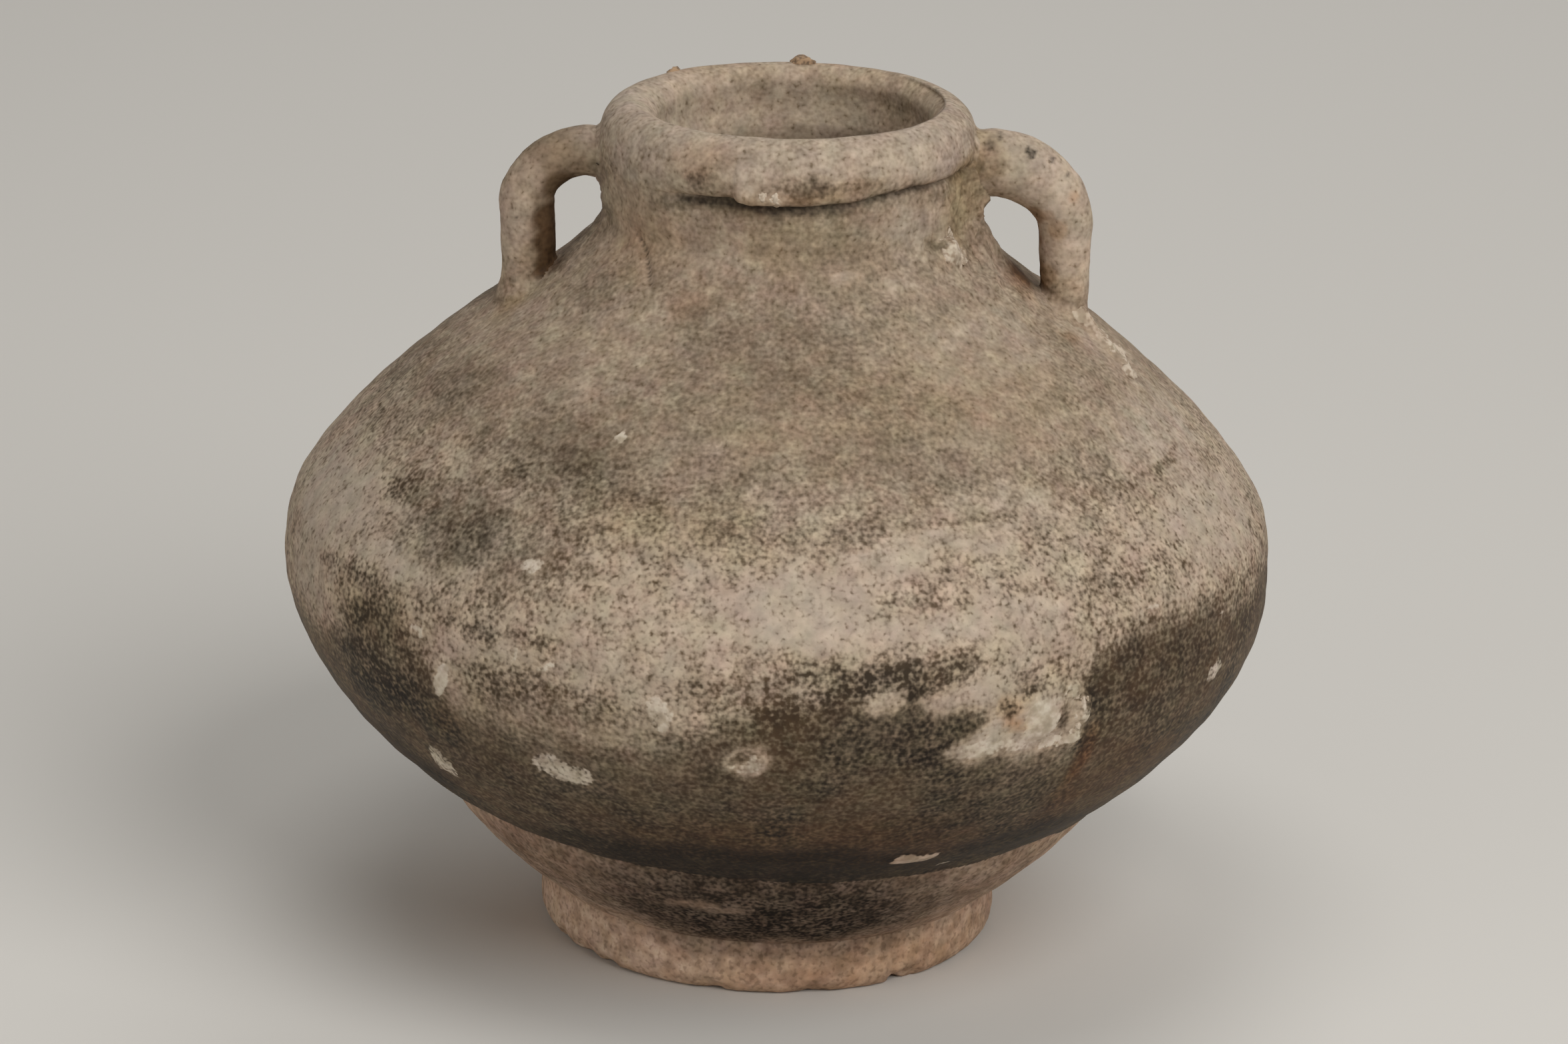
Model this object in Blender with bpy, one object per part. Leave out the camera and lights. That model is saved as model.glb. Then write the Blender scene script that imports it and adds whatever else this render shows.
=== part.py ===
"""A squat stoneware jarlet with a rolled mouth rim and two coil handles.

The jar is made the way a potter joins one: a turned foot, a thrown lower half, a thrown
upper half, a neck ring and a rolled rim, then two bent coils, each luted on at both ends
with a flared pad of clay. The origin is at the middle of the foot, on the surface that the
jar stands on, with +Z up. The handles lie along the X axis and the front faces -Y.
"""

import math

import bmesh
import bpy
from mathutils import Matrix, Vector
from mathutils.geometry import interpolate_bezier

MM = 0.001

# Driving dimensions: the jar's greatest width, and the heights that stack up from its base
BELLY_DIAMETER = 109.8 * MM
FOOT_HEIGHT = 6.5 * MM
BARE_HEIGHT = 12.7 * MM
SWELL_HEIGHT = 24.4 * MM
SHOULDER_RISE = 34.2 * MM
NECK_HEIGHT = 11.2 * MM
RIM_HEIGHT = 6.4 * MM

# Gap left between two pieces that touch, and how close two points of a turned piece may be
SEAT_GAP = 0.3 * MM
MERGE_DISTANCE = 0.002 * MM

# Foot: a solid turned disc, its lower edge pared off and its underside hollowed a little
FOOT_DIAMETER = 51.6 * MM
FOOT_EDGE_WIDTH = 1.2 * MM
FOOT_EDGE_HEIGHT = 1.5 * MM
FOOT_RING_WIDTH = 6.0 * MM
FOOT_HOLLOW_DEPTH = 1.6 * MM
FOOT_HOLLOW_SLOPE = 1.4 * MM

# Lower half: bare clay from the foot up to the glaze line, then the glazed swell
BODY_BASE_OVERHANG = 0.5 * MM
GLAZE_LINE_DIAMETER = 75.2 * MM
GLAZE_THICKNESS = 0.8 * MM
FLOOR_THICKNESS = 5.5 * MM
BARE_SWELL_POWER = 1.4
GLAZED_SWELL_POWER = 2.0

# Wall, and the half-thickness lap where the two halves were luted at the belly
BODY_WALL = 4.0 * MM
LAP_HEIGHT = 3.0 * MM
LAP_WIDTH = 1.9 * MM

# Upper half: how far up, and how far in, the shoulder has come at each station
SHOULDER_CURVE_SHARES = (
    (0.000, 0.000),
    (0.120, 0.008),
    (0.235, 0.052),
    (0.420, 0.210),
    (0.600, 0.417),
    (0.760, 0.630),
    (0.885, 0.842),
    (1.000, 1.000),
)

# Neck: draws in from the shoulder, then runs straight up under the rim
NECK_DIAMETER = 39.4 * MM
NECK_WALL = 3.7 * MM
NECK_FLARE = 4.4 * MM
NECK_THROAT_FLARE = 2.5 * MM
NECK_DRAW_HEIGHT = 5.6 * MM
NECK_DRAW_POWER = 1.5

# Rim: how far in from the rim's outside, and how far up from its underside, each station lies
RIM_OVERHANG = 0.8 * MM
RIM_THICKNESS = 5.0 * MM
RIM_CURVE_SHARES = (
    (0.090, 0.000),
    (0.010, 0.100),
    (0.000, 0.260),
    (0.040, 0.520),
    (0.150, 0.750),
    (0.360, 0.920),
    (0.640, 1.000),
    (0.850, 0.950),
    (0.960, 0.820),
    (1.000, 0.560),
)

# Handles: each coil leaves the rim level, bends over and drops to the shoulder. Its standoff
# is measured from the rim's outside and its crown's drop from the rim's top, to mid-coil.
LEFT_STANDOFF = 8.2 * MM
LEFT_CROWN_DROP = 6.5 * MM
LEFT_CROWN_COIL_DIAMETER = 5.5 * MM
LEFT_DROP_COIL_DIAMETER = 6.2 * MM
RIGHT_STANDOFF = 10.0 * MM
RIGHT_CROWN_DROP = 6.1 * MM
RIGHT_CROWN_COIL_DIAMETER = 7.2 * MM
RIGHT_DROP_COIL_DIAMETER = 5.9 * MM
HANDLE_BEND_HEIGHT = 6.6 * MM
COIL_CHANGE_POWER = 2.0

# Pads of luting clay under the ends of the coils
UPPER_PAD_LENGTH = 2.0 * MM
UPPER_PAD_FLARE = 1.5 * MM
LOWER_PAD_STAND = 0.9 * MM
LOWER_PAD_FLARE = 2.6 * MM
PAD_FLARE_POWER = 2.0
PAD_BITE = 2.5 * MM

# Faceting, as counts, and the least angle that stays a crisp edge
TURNED_SEGMENTS = 64
SWELL_STEPS = 7
SHOULDER_STEPS = 2
NECK_STEPS = 5
BEND_STEPS = 10
DROP_STEPS = 3
COIL_RESOLUTION = 4
PAD_SEGMENTS = 20
PAD_STEPS = 5
SHARP_EDGE_ANGLE = math.radians(40.0)

# Places that follow from the sizes above: heights above the base, then radii
FLOOR_TOP = FOOT_HEIGHT + FLOOR_THICKNESS
GLAZE_LINE_HEIGHT = FOOT_HEIGHT + BARE_HEIGHT
BELLY_HEIGHT = GLAZE_LINE_HEIGHT + SWELL_HEIGHT
SHOULDER_TOP_HEIGHT = BELLY_HEIGHT + SHOULDER_RISE
NECK_TOP_HEIGHT = SHOULDER_TOP_HEIGHT + NECK_HEIGHT
RIM_TOP_HEIGHT = NECK_TOP_HEIGHT + RIM_HEIGHT
FOOT_RADIUS = FOOT_DIAMETER / 2
BODY_BASE_RADIUS = FOOT_RADIUS + BODY_BASE_OVERHANG
GLAZE_LINE_RADIUS = GLAZE_LINE_DIAMETER / 2
BELLY_RADIUS = BELLY_DIAMETER / 2
NECK_RADIUS = NECK_DIAMETER / 2
NECK_BORE_RADIUS = NECK_RADIUS - NECK_WALL
SHOULDER_TOP_RADIUS = NECK_RADIUS + NECK_FLARE
THROAT_RADIUS = NECK_BORE_RADIUS + NECK_THROAT_FLARE
RIM_RADIUS = NECK_RADIUS + RIM_OVERHANG


def clear_scene():
    """Remove every object, so that the file holds only the jar."""
    for thing in list(bpy.data.objects):
        bpy.data.objects.remove(thing, do_unlink=True)


def clay(name, colour, roughness):
    """A fired-clay material: colour in linear RGB, roughness, no metal."""
    finish = bpy.data.materials.new(name)
    finish.use_nodes = True
    shader = finish.node_tree.nodes["Principled BSDF"]
    shader.inputs["Base Color"].default_value = (*colour, 1.0)
    shader.inputs["Roughness"].default_value = roughness
    shader.inputs["Metallic"].default_value = 0.0
    finish.diffuse_color = (*colour, 1.0)
    return finish


def finished(name, mesh, finish):
    """Link a mesh as a named object with its material and smooth shading."""
    mesh.materials.append(finish)
    mesh.shade_smooth()
    mesh.set_sharp_from_angle(angle=SHARP_EDGE_ANGLE)
    piece = bpy.data.objects.new(name, mesh)
    bpy.context.scene.collection.objects.link(piece)
    return piece


def turned_mesh(name, outline, segments):
    """Spin a closed outline of (radius, height) points round the Z axis into a solid."""
    shape = bmesh.new()
    corners = [shape.verts.new((radius, 0.0, height)) for radius, height in outline]
    for here, there in zip(corners, corners[1:] + corners[:1]):
        if here.co.x > 0.0 or there.co.x > 0.0:
            shape.edges.new((here, there))
    bmesh.ops.spin(
        shape,
        geom=shape.verts[:] + shape.edges[:],
        cent=(0.0, 0.0, 0.0),
        axis=(0.0, 0.0, 1.0),
        angle=math.tau,
        steps=segments,
        use_merge=True,
    )
    bmesh.ops.remove_doubles(shape, verts=shape.verts[:], dist=MERGE_DISTANCE)
    bmesh.ops.recalc_face_normals(shape, faces=shape.faces[:])
    mesh = bpy.data.meshes.new(name)
    shape.to_mesh(mesh)
    shape.free()
    return mesh


def turned(name, outline, finish):
    """A turned piece as an object of its own."""
    return finished(name, turned_mesh(name, outline, TURNED_SEGMENTS), finish)


def swell(start, end, power, steps):
    """Points from start to end that open fast at first and come upright at the end."""
    run = []
    for step in range(steps + 1):
        share = step / steps
        radius = start[0] + (end[0] - start[0]) * (1.0 - (1.0 - share) ** power)
        run.append((radius, start[1] + (end[1] - start[1]) * share))
    return run


def smooth_run(stations, steps):
    """A smooth line through every station, with a number of steps between each two."""
    knots = [Vector(station) for station in stations]
    ends = [knots[0]] + knots + [knots[-1]]
    run = [tuple(knots[0])]
    for before, here, there, after in zip(ends, ends[1:], ends[2:], ends[3:]):
        leave = here + (there - before) / 6
        arrive = there - (after - here) / 6
        run += [tuple(point) for point in
                interpolate_bezier(here, leave, arrive, there, steps + 1)[1:]]
    return run


def offset_run(run, distance):
    """The run moved square to itself: inwards for a distance below zero on a rising run."""
    moved = []
    for index, (radius, height) in enumerate(run):
        before = run[max(index - 1, 0)]
        after = run[min(index + 1, len(run) - 1)]
        along = Vector((after[0] - before[0], after[1] - before[1])).normalized()
        moved.append((radius + along.y * distance, height - along.x * distance))
    return moved


def bare_run():
    """Outside of the unglazed clay, from the foot up to the glaze line."""
    start = (BODY_BASE_RADIUS, FOOT_HEIGHT)
    return swell(start, (GLAZE_LINE_RADIUS, GLAZE_LINE_HEIGHT), BARE_SWELL_POWER, SWELL_STEPS)


def glazed_run():
    """Outside of the glazed lower half, from the glaze line up to the belly."""
    start = (GLAZE_LINE_RADIUS + GLAZE_THICKNESS, GLAZE_LINE_HEIGHT)
    return swell(start, (BELLY_RADIUS, BELLY_HEIGHT), GLAZED_SWELL_POWER, SWELL_STEPS)


def shoulder_run():
    """Outside of the upper half, from the belly up to the foot of the neck."""
    draw = BELLY_RADIUS - SHOULDER_TOP_RADIUS
    stations = [(BELLY_RADIUS - draw * inward, BELLY_HEIGHT + SHOULDER_RISE * up)
                for up, inward in SHOULDER_CURVE_SHARES]
    return smooth_run(stations, SHOULDER_STEPS)


def neck_run():
    """Outside of the neck, from the shoulder up to the rim."""
    run = []
    for step in range(NECK_STEPS + 1):
        share = step / NECK_STEPS
        extra = NECK_FLARE * (1.0 - share) ** NECK_DRAW_POWER
        run.append((NECK_RADIUS + extra, SHOULDER_TOP_HEIGHT + NECK_DRAW_HEIGHT * share))
    run.append((NECK_RADIUS, NECK_TOP_HEIGHT))
    return run


def rim_run():
    """The rolled rim's outline, from its under-edge over the crest and down into the mouth."""
    return [(RIM_RADIUS - RIM_THICKNESS * inward, NECK_TOP_HEIGHT + RIM_HEIGHT * up)
            for inward, up in RIM_CURVE_SHARES]


def surface_height(radius):
    """Height of the shoulder's or neck's outside at a distance from the jar's axis."""
    run = shoulder_run() + neck_run()[1:]
    for (outer, low), (inner, high) in zip(run, run[1:]):
        if inner <= radius <= outer and outer > inner:
            return low + (high - low) * (outer - radius) / (outer - inner)
    return NECK_TOP_HEIGHT


def foot(finish):
    """The turned foot, hollowed underneath inside its standing ring."""
    hollow = FOOT_RADIUS - FOOT_EDGE_WIDTH - FOOT_RING_WIDTH
    return turned("foot", [
        (0.0, FOOT_HOLLOW_DEPTH),
        (hollow - FOOT_HOLLOW_SLOPE, FOOT_HOLLOW_DEPTH),
        (hollow, 0.0),
        (FOOT_RADIUS - FOOT_EDGE_WIDTH, 0.0),
        (FOOT_RADIUS, FOOT_EDGE_HEIGHT),
        (FOOT_RADIUS, FOOT_HEIGHT - SEAT_GAP),
        (0.0, FOOT_HEIGHT - SEAT_GAP),
    ], finish)


def lower_body(finish):
    """The thrown lower half: floor, flared wall, and the lap that the upper half sits on."""
    outside = bare_run() + glazed_run()
    wall = offset_run(bare_run(), -BODY_WALL) + offset_run(glazed_run(), -BODY_WALL)
    inside = [(radius, max(height, FLOOR_TOP)) for radius, height in reversed(wall)]
    lap_radius = BELLY_RADIUS - BODY_WALL + LAP_WIDTH
    lap = [
        (lap_radius, BELLY_HEIGHT),
        (lap_radius, BELLY_HEIGHT + LAP_HEIGHT),
        (BELLY_RADIUS - BODY_WALL, BELLY_HEIGHT + LAP_HEIGHT),
    ]
    return turned("lower_body", [(0.0, FOOT_HEIGHT)] + outside + lap + inside
                  + [(0.0, FLOOR_TOP)], finish)


def upper_body(finish):
    """The thrown upper half, from its rebate at the belly to the seat of the neck."""
    outside = shoulder_run()
    outside[0] = (BELLY_RADIUS, BELLY_HEIGHT + SEAT_GAP)
    lap_top = BELLY_HEIGHT + LAP_HEIGHT + SEAT_GAP
    wall = [point for point in offset_run(shoulder_run(), -BODY_WALL) if point[1] > lap_top]
    rebate_radius = BELLY_RADIUS - BODY_WALL + LAP_WIDTH + SEAT_GAP
    rebate = [
        (BELLY_RADIUS - BODY_WALL, lap_top),
        (rebate_radius, lap_top),
        (rebate_radius, BELLY_HEIGHT + SEAT_GAP),
    ]
    return turned("upper_body", outside + [(THROAT_RADIUS, SHOULDER_TOP_HEIGHT)]
                  + list(reversed(wall)) + rebate, finish)


def neck(finish):
    """The neck ring, seated on the shoulder."""
    outside = neck_run()
    outside[0] = (SHOULDER_TOP_RADIUS, SHOULDER_TOP_HEIGHT + SEAT_GAP)
    bore = [
        (NECK_BORE_RADIUS, NECK_TOP_HEIGHT),
        (NECK_BORE_RADIUS, SHOULDER_TOP_HEIGHT + NECK_DRAW_HEIGHT),
        (THROAT_RADIUS, SHOULDER_TOP_HEIGHT + SEAT_GAP),
    ]
    return turned("neck", outside + bore, finish)


def rim(finish):
    """The rolled rim, seated on the neck and standing a little proud of it."""
    outside = rim_run()
    outside[0] = (outside[0][0], NECK_TOP_HEIGHT + SEAT_GAP)
    return turned("rim", outside + [(NECK_BORE_RADIUS, NECK_TOP_HEIGHT + SEAT_GAP)], finish)


def seat_cutter(finish):
    """The outside of shoulder, neck and rim, swollen by the seat gap: cuts the pads to fit."""
    outside = shoulder_run() + neck_run()[1:] + rim_run()
    swollen = offset_run(outside, SEAT_GAP)
    cutter = finished("seat_cutter", turned_mesh(
        "seat_cutter",
        [(0.0, swollen[0][1])] + swollen + [(0.0, swollen[-1][1])],
        TURNED_SEGMENTS,
    ), finish)
    cutter.hide_render = True
    cutter.display_type = "WIRE"
    return cutter


def coil(name, side, reach, crown_height, crown_coil, drop_coil, finish):
    """A handle: a round coil, level at the rim, bent over and dropped to the shoulder."""
    start = RIM_RADIUS + UPPER_PAD_LENGTH + SEAT_GAP
    bottom = lower_pad_top(reach, drop_coil) + SEAT_GAP
    points = []
    for step in range(BEND_STEPS + 1):
        angle = math.pi / 2 * step / BEND_STEPS
        out = start + (reach - start) * math.sin(angle)
        points.append((out, crown_height - HANDLE_BEND_HEIGHT * (1.0 - math.cos(angle))))
    straight_top = crown_height - HANDLE_BEND_HEIGHT
    for step in range(1, DROP_STEPS + 1):
        points.append((reach, straight_top + (bottom - straight_top) * step / DROP_STEPS))
    curve = bpy.data.curves.new(name, "CURVE")
    curve.dimensions = "3D"
    curve.bevel_depth = drop_coil / 2
    curve.bevel_resolution = COIL_RESOLUTION
    curve.use_fill_caps = True
    spline = curve.splines.new("POLY")
    spline.points.add(len(points) - 1)
    for index, (out, height) in enumerate(points):
        spline.points[index].co = (side * out, 0.0, height, 1.0)
        bent = min(index / BEND_STEPS, 1.0) ** COIL_CHANGE_POWER
        spline.points[index].radius = (crown_coil + (drop_coil - crown_coil) * bent) / drop_coil
    curve.materials.append(finish)
    piece = bpy.data.objects.new(name, curve)
    bpy.context.scene.collection.objects.link(piece)
    return piece


def lower_pad_top(reach, drop_coil):
    """Height where a lower pad ends and its coil begins, clear of the shoulder all round."""
    return surface_height(reach - drop_coil / 2) + LOWER_PAD_STAND


def pad(name, coil_diameter, flare, length, place, cutter, finish):
    """A flared pad of luting clay, turned on its own axis, placed and cut to its seat."""
    outline = [(0.0, 0.0)]
    for step in range(PAD_STEPS + 1):
        share = step / PAD_STEPS
        outline.append((coil_diameter / 2 + flare * share ** PAD_FLARE_POWER, -length * share))
    outline.append((0.0, -length))
    mesh = turned_mesh(name, outline, PAD_SEGMENTS)
    mesh.transform(place)
    piece = finished(name, mesh, finish)
    cut = piece.modifiers.new("seat", "BOOLEAN")
    cut.operation = "DIFFERENCE"
    cut.solver = "EXACT"
    cut.object = cutter
    return piece


def handle(name, side, reach, crown_height, crown_coil, drop_coil, cutter, finish):
    """One handle: its coil, the pad at the rim and the pad on the shoulder."""
    coil(name, side, reach, crown_height, crown_coil, drop_coil, finish)
    outward = Matrix.Rotation(side * math.pi / 2, 4, "Y")
    upper_place = Matrix.Translation((side * (RIM_RADIUS + UPPER_PAD_LENGTH), 0.0, crown_height))
    pad(name + "_upper_pad", crown_coil, UPPER_PAD_FLARE, UPPER_PAD_LENGTH + PAD_BITE,
        upper_place @ outward, cutter, finish)
    top = lower_pad_top(reach, drop_coil)
    outer_edge = reach + drop_coil / 2 + LOWER_PAD_FLARE
    length = top - surface_height(outer_edge) + PAD_BITE
    lower_place = Matrix.Translation((side * reach, 0.0, top))
    pad(name + "_lower_pad", drop_coil, LOWER_PAD_FLARE, length, lower_place, cutter, finish)


def build():
    """Make every piece of the jar."""
    clear_scene()
    bare_clay = clay("bare_clay", (0.36, 0.21, 0.13), 0.85)
    dark_glaze = clay("dark_worn_glaze", (0.10, 0.075, 0.055), 0.5)
    pale_glaze = clay("pale_worn_glaze", (0.36, 0.28, 0.20), 0.6)
    foot(bare_clay)
    lower_body(dark_glaze)
    upper_body(pale_glaze)
    neck(pale_glaze)
    rim(pale_glaze)
    cutter = seat_cutter(pale_glaze)
    handle("left_handle", -1, RIM_RADIUS + LEFT_STANDOFF, RIM_TOP_HEIGHT - LEFT_CROWN_DROP,
           LEFT_CROWN_COIL_DIAMETER, LEFT_DROP_COIL_DIAMETER, cutter, pale_glaze)
    handle("right_handle", 1, RIM_RADIUS + RIGHT_STANDOFF, RIM_TOP_HEIGHT - RIGHT_CROWN_DROP,
           RIGHT_CROWN_COIL_DIAMETER, RIGHT_DROP_COIL_DIAMETER, cutter, pale_glaze)


build()
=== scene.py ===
"""Looks of a squat stoneware jarlet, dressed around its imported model.

The real jarlet is one potter's piece of iron-bearing stoneware: a turned foot, a thrown body
joined at the belly, a neck with a rolled rim, and two coil handles luted on. Its iron-brown
glaze has weathered in the ground: a pale, speckled bloom of lime covers the upper two thirds,
the glaze shows dark below the belly, and the foot is bare clay. Every size is in metres, with
the jar's axis on Z and its front facing -Y. An azimuth is in degrees, 0 at the front and 90
at the right handle, and patches on the surface are placed by azimuth and height.
"""

import logging
import math
from collections.abc import Callable
from dataclasses import dataclass, field
from enum import Enum

import bmesh
import bpy
import numpy as np
from mathutils import Matrix, Vector, noise
from mathutils.geometry import interpolate_bezier


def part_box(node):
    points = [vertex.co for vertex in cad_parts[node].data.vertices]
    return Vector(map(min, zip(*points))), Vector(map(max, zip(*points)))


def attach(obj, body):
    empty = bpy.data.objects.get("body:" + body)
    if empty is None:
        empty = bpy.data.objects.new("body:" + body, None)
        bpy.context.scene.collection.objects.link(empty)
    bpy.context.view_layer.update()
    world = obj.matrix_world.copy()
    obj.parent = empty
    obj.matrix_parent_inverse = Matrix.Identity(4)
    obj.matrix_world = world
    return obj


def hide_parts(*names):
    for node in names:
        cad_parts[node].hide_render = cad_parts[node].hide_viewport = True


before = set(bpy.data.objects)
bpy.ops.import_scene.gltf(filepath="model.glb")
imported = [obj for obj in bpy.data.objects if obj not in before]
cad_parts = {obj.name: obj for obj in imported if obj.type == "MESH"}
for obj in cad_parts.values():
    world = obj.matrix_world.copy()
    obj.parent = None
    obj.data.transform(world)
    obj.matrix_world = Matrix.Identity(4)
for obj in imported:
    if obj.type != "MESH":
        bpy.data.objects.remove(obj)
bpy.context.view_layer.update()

log = logging.getLogger("jarlet")

MM = 0.001
BODY = "root"
SEAM_GAP = 0.3 * MM
MERGE_DISTANCE = 0.002 * MM
TURN_PARTS = 12
FILLET_STEPS = 6

Line = list[tuple[float, float]]
Stations = tuple[tuple[float, float], ...]


class Slot(Enum):
    """The record's material slots."""

    BARE_CLAY = "bare_clay"
    DARK_GLAZE = "dark_glaze"
    PALE_GLAZE = "pale_glaze"


class Channel(Enum):
    """What is painted on the skins, one number per vertex, for the materials to read."""

    BLOOM = "bloom"
    HAZE = "haze"
    BARE = "bare"
    SOOT_AND_SHADE = "soot_and_shade"
    CRUST = "crust"


# The skin's multiplying colour: stains, with painted light and shade on the inside, the handles and the
# foot
STAIN_AND_PAINTED_LIGHT = "stain_and_painted_light"
# A tint of this linear grey changes nothing
TINT_WHITE = 0.8


def linear(colour: str) -> tuple[float, float, float, float]:
    """Turn an sRGB hex colour into linear RGBA.

    Args:
        colour: six hex digits after a hash mark.

    Returns:
        The colour as Blender's sockets take it.
    """
    channels = [int(colour[place:place + 2], 16) / 255 for place in (1, 3, 5)]
    bent = [c / 12.92 if c <= 0.04045 else ((c + 0.055) / 1.055) ** 2.4 for c in channels]
    return (bent[0], bent[1], bent[2], 1.0)


def smooth_step(low: float | np.ndarray, high: float | np.ndarray, value: np.ndarray) -> np.ndarray:
    """Rise smoothly from 0 where value is low to 1 where it is high."""
    share = np.clip((value - low) / (high - low), 0.0, 1.0)
    return share * share * (3.0 - 2.0 * share)


def grain(points: np.ndarray, size: float, seed: int, octaves: int = 1) -> np.ndarray:
    """Smooth random values, about -1 to 1, that vary over a given size.

    Args:
        points: places, one row each.
        size: how far apart one rise and the next lie.
        seed: which of many such patterns to use.
        octaves: how many ever finer patterns to add.

    Returns:
        One value for each place.
    """
    moved = points / size + np.array([seed * 17.3, seed * 5.1, seed * 11.7])
    return np.array([noise.fractal(p, 1.0, 2.0, octaves) for p in moved.tolist()])


def azimuths(points: np.ndarray) -> np.ndarray:
    """Azimuth of each point in degrees, 0 at the front and 90 at the right handle."""
    return np.degrees(np.arctan2(points[:, 0], -points[:, 1]))


def axis_distance(points: np.ndarray) -> np.ndarray:
    """Distance of each point from the jar's axis."""
    return np.hypot(points[:, 0], points[:, 1])


def turn_between(azimuth: np.ndarray, centre: float) -> np.ndarray:
    """Degrees from a centre azimuth, the short way round."""
    return (azimuth - centre + 180.0) % 360.0 - 180.0


def smooth_union(first: np.ndarray, second: np.ndarray, reach: float | np.ndarray) -> np.ndarray:
    """Distance to two joined shapes with a fillet between them.

    Args:
        first: distances to one shape.
        second: distances to the other.
        reach: how far from their meeting the fillet begins.

    Returns:
        The joined distances.
    """
    near = np.clip(reach - np.abs(first - second), 0.0, None) / reach
    return np.minimum(first, second) - near * near * reach / 4


def read_off(stations: Stations, places: np.ndarray) -> np.ndarray:
    """A value read off straight lines between (place, value) stations."""
    return np.interp(places, *zip(*stations))


def around(azimuth: np.ndarray, stations: Stations) -> np.ndarray:
    """A value that runs smoothly round the jar through its stations.

    Args:
        azimuth: where it is read, in degrees.
        stations: (azimuth, value) pairs, in order.

    Returns:
        One value for each azimuth.
    """
    places, values = np.array(stations).T
    places = np.concatenate([[places[-1] - 360.0], places, [places[0] + 360.0]])
    values = np.concatenate([[values[-1]], values, [values[0]]])
    index = np.clip(np.searchsorted(places, azimuth, side="right") - 1, 0, len(places) - 2)
    share = smooth_step(places[index], places[index + 1], azimuth)
    return values[index] + (values[index + 1] - values[index]) * share


def eased_run(stations: Line, spacing: float) -> Line:
    """A smooth line through every station, resampled to an even spacing.

    Args:
        stations: the (radius, height) points to pass through.
        spacing: about how far apart the new points lie.

    Returns:
        The new points, with the first and last stations kept.
    """
    knots = [Vector(station) for station in stations]
    ends = [knots[0]] + knots + [knots[-1]]
    line = [knots[0]]
    for before, here, there, after in zip(ends, ends[1:], ends[2:], ends[3:]):
        leave = here + (there - before) / 6
        arrive = there - (after - here) / 6
        line += interpolate_bezier(here, leave, arrive, there, 9)[1:]
    dense = np.array([tuple(point) for point in line])
    along = np.concatenate([[0.0], np.cumsum(np.hypot(*np.diff(dense, axis=0).T))])
    places = np.linspace(0.0, along[-1], max(2, round(along[-1] / spacing) + 1))
    return [(float(np.interp(s, along, dense[:, 0])), float(np.interp(s, along, dense[:, 1])))
            for s in places]


def to_points(mesh: bpy.types.Mesh) -> np.ndarray:
    """The mesh's vertices.

    Args:
        mesh: the mesh.

    Returns:
        One row for each vertex.
    """
    flat = np.empty(len(mesh.vertices) * 3)
    mesh.vertices.foreach_get("co", flat)
    return flat.reshape(-1, 3)


def to_normals(mesh: bpy.types.Mesh) -> np.ndarray:
    """The mesh's vertex normals.

    Args:
        mesh: the mesh.

    Returns:
        One row for each vertex.
    """
    flat = np.empty(len(mesh.vertices) * 3, np.float32)
    mesh.vertex_normals.foreach_get("vector", flat)
    return flat.reshape(-1, 3).astype(float)


def set_points(mesh: bpy.types.Mesh, points: np.ndarray) -> None:
    """Move the mesh's vertices to new places."""
    mesh.vertices.foreach_set("co", points.astype(np.float32).ravel())
    mesh.update()


def finished(shape: bmesh.types.BMesh, name: str) -> bpy.types.Mesh:
    """Make a mesh of a bmesh, and free the bmesh.

    Args:
        shape: the bmesh, with everything in its place.
        name: the mesh's name.

    Returns:
        The new mesh.
    """
    mesh = bpy.data.meshes.new(name)
    shape.to_mesh(mesh)
    shape.free()
    return mesh


def store(mesh: bpy.types.Mesh, name: str, values: np.ndarray, kind: str = "FLOAT") -> None:
    """Keep values on a mesh's vertices as a named attribute.

    Args:
        mesh: the mesh.
        name: the attribute's name.
        values: one row for each vertex.
        kind: the attribute's data type.
    """
    part = {"FLOAT": "value", "FLOAT_COLOR": "color", "FLOAT_VECTOR": "vector"}[kind]
    layer = mesh.attributes.new(name, kind, "POINT")
    layer.data.foreach_set(part, values.astype(np.float32).ravel())


def spun(name: str, outline: Line, steps: int) -> bpy.types.Mesh:
    """Spin a closed outline of (radius, height) points round the jar's axis.

    One slice is spun, then copied round and merged, which is far faster than a whole turn.

    Args:
        name: the mesh's name.
        outline: the points, in order; those on the axis close the poles.
        steps: how many facets go round.

    Returns:
        A closed mesh whose faces point outwards.
    """
    shape = bmesh.new()
    corners = [shape.verts.new((radius, 0.0, height)) for radius, height in outline]
    for here, there in zip(corners, corners[1:] + corners[:1]):
        if here.co.x > 0.0 or there.co.x > 0.0:
            shape.edges.new((here, there))
    bmesh.ops.spin(shape, geom=shape.verts[:] + shape.edges[:], cent=(0.0, 0.0, 0.0),
                   axis=(0.0, 0.0, 1.0), angle=math.tau / TURN_PARTS, steps=steps // TURN_PARTS)
    slice_geometry = shape.verts[:] + shape.edges[:] + shape.faces[:]
    for part in range(1, TURN_PARTS):
        made = bmesh.ops.duplicate(shape, geom=slice_geometry)["geom"]
        bmesh.ops.rotate(shape, verts=[spot for spot in made if isinstance(spot, bmesh.types.BMVert)],
                         cent=(0.0, 0.0, 0.0),
                         matrix=Matrix.Rotation(math.tau * part / TURN_PARTS, 3, "Z"))
    bmesh.ops.remove_doubles(shape, verts=shape.verts[:], dist=MERGE_DISTANCE)
    bmesh.ops.recalc_face_normals(shape, faces=shape.faces[:])
    return finished(shape, name)


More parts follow.
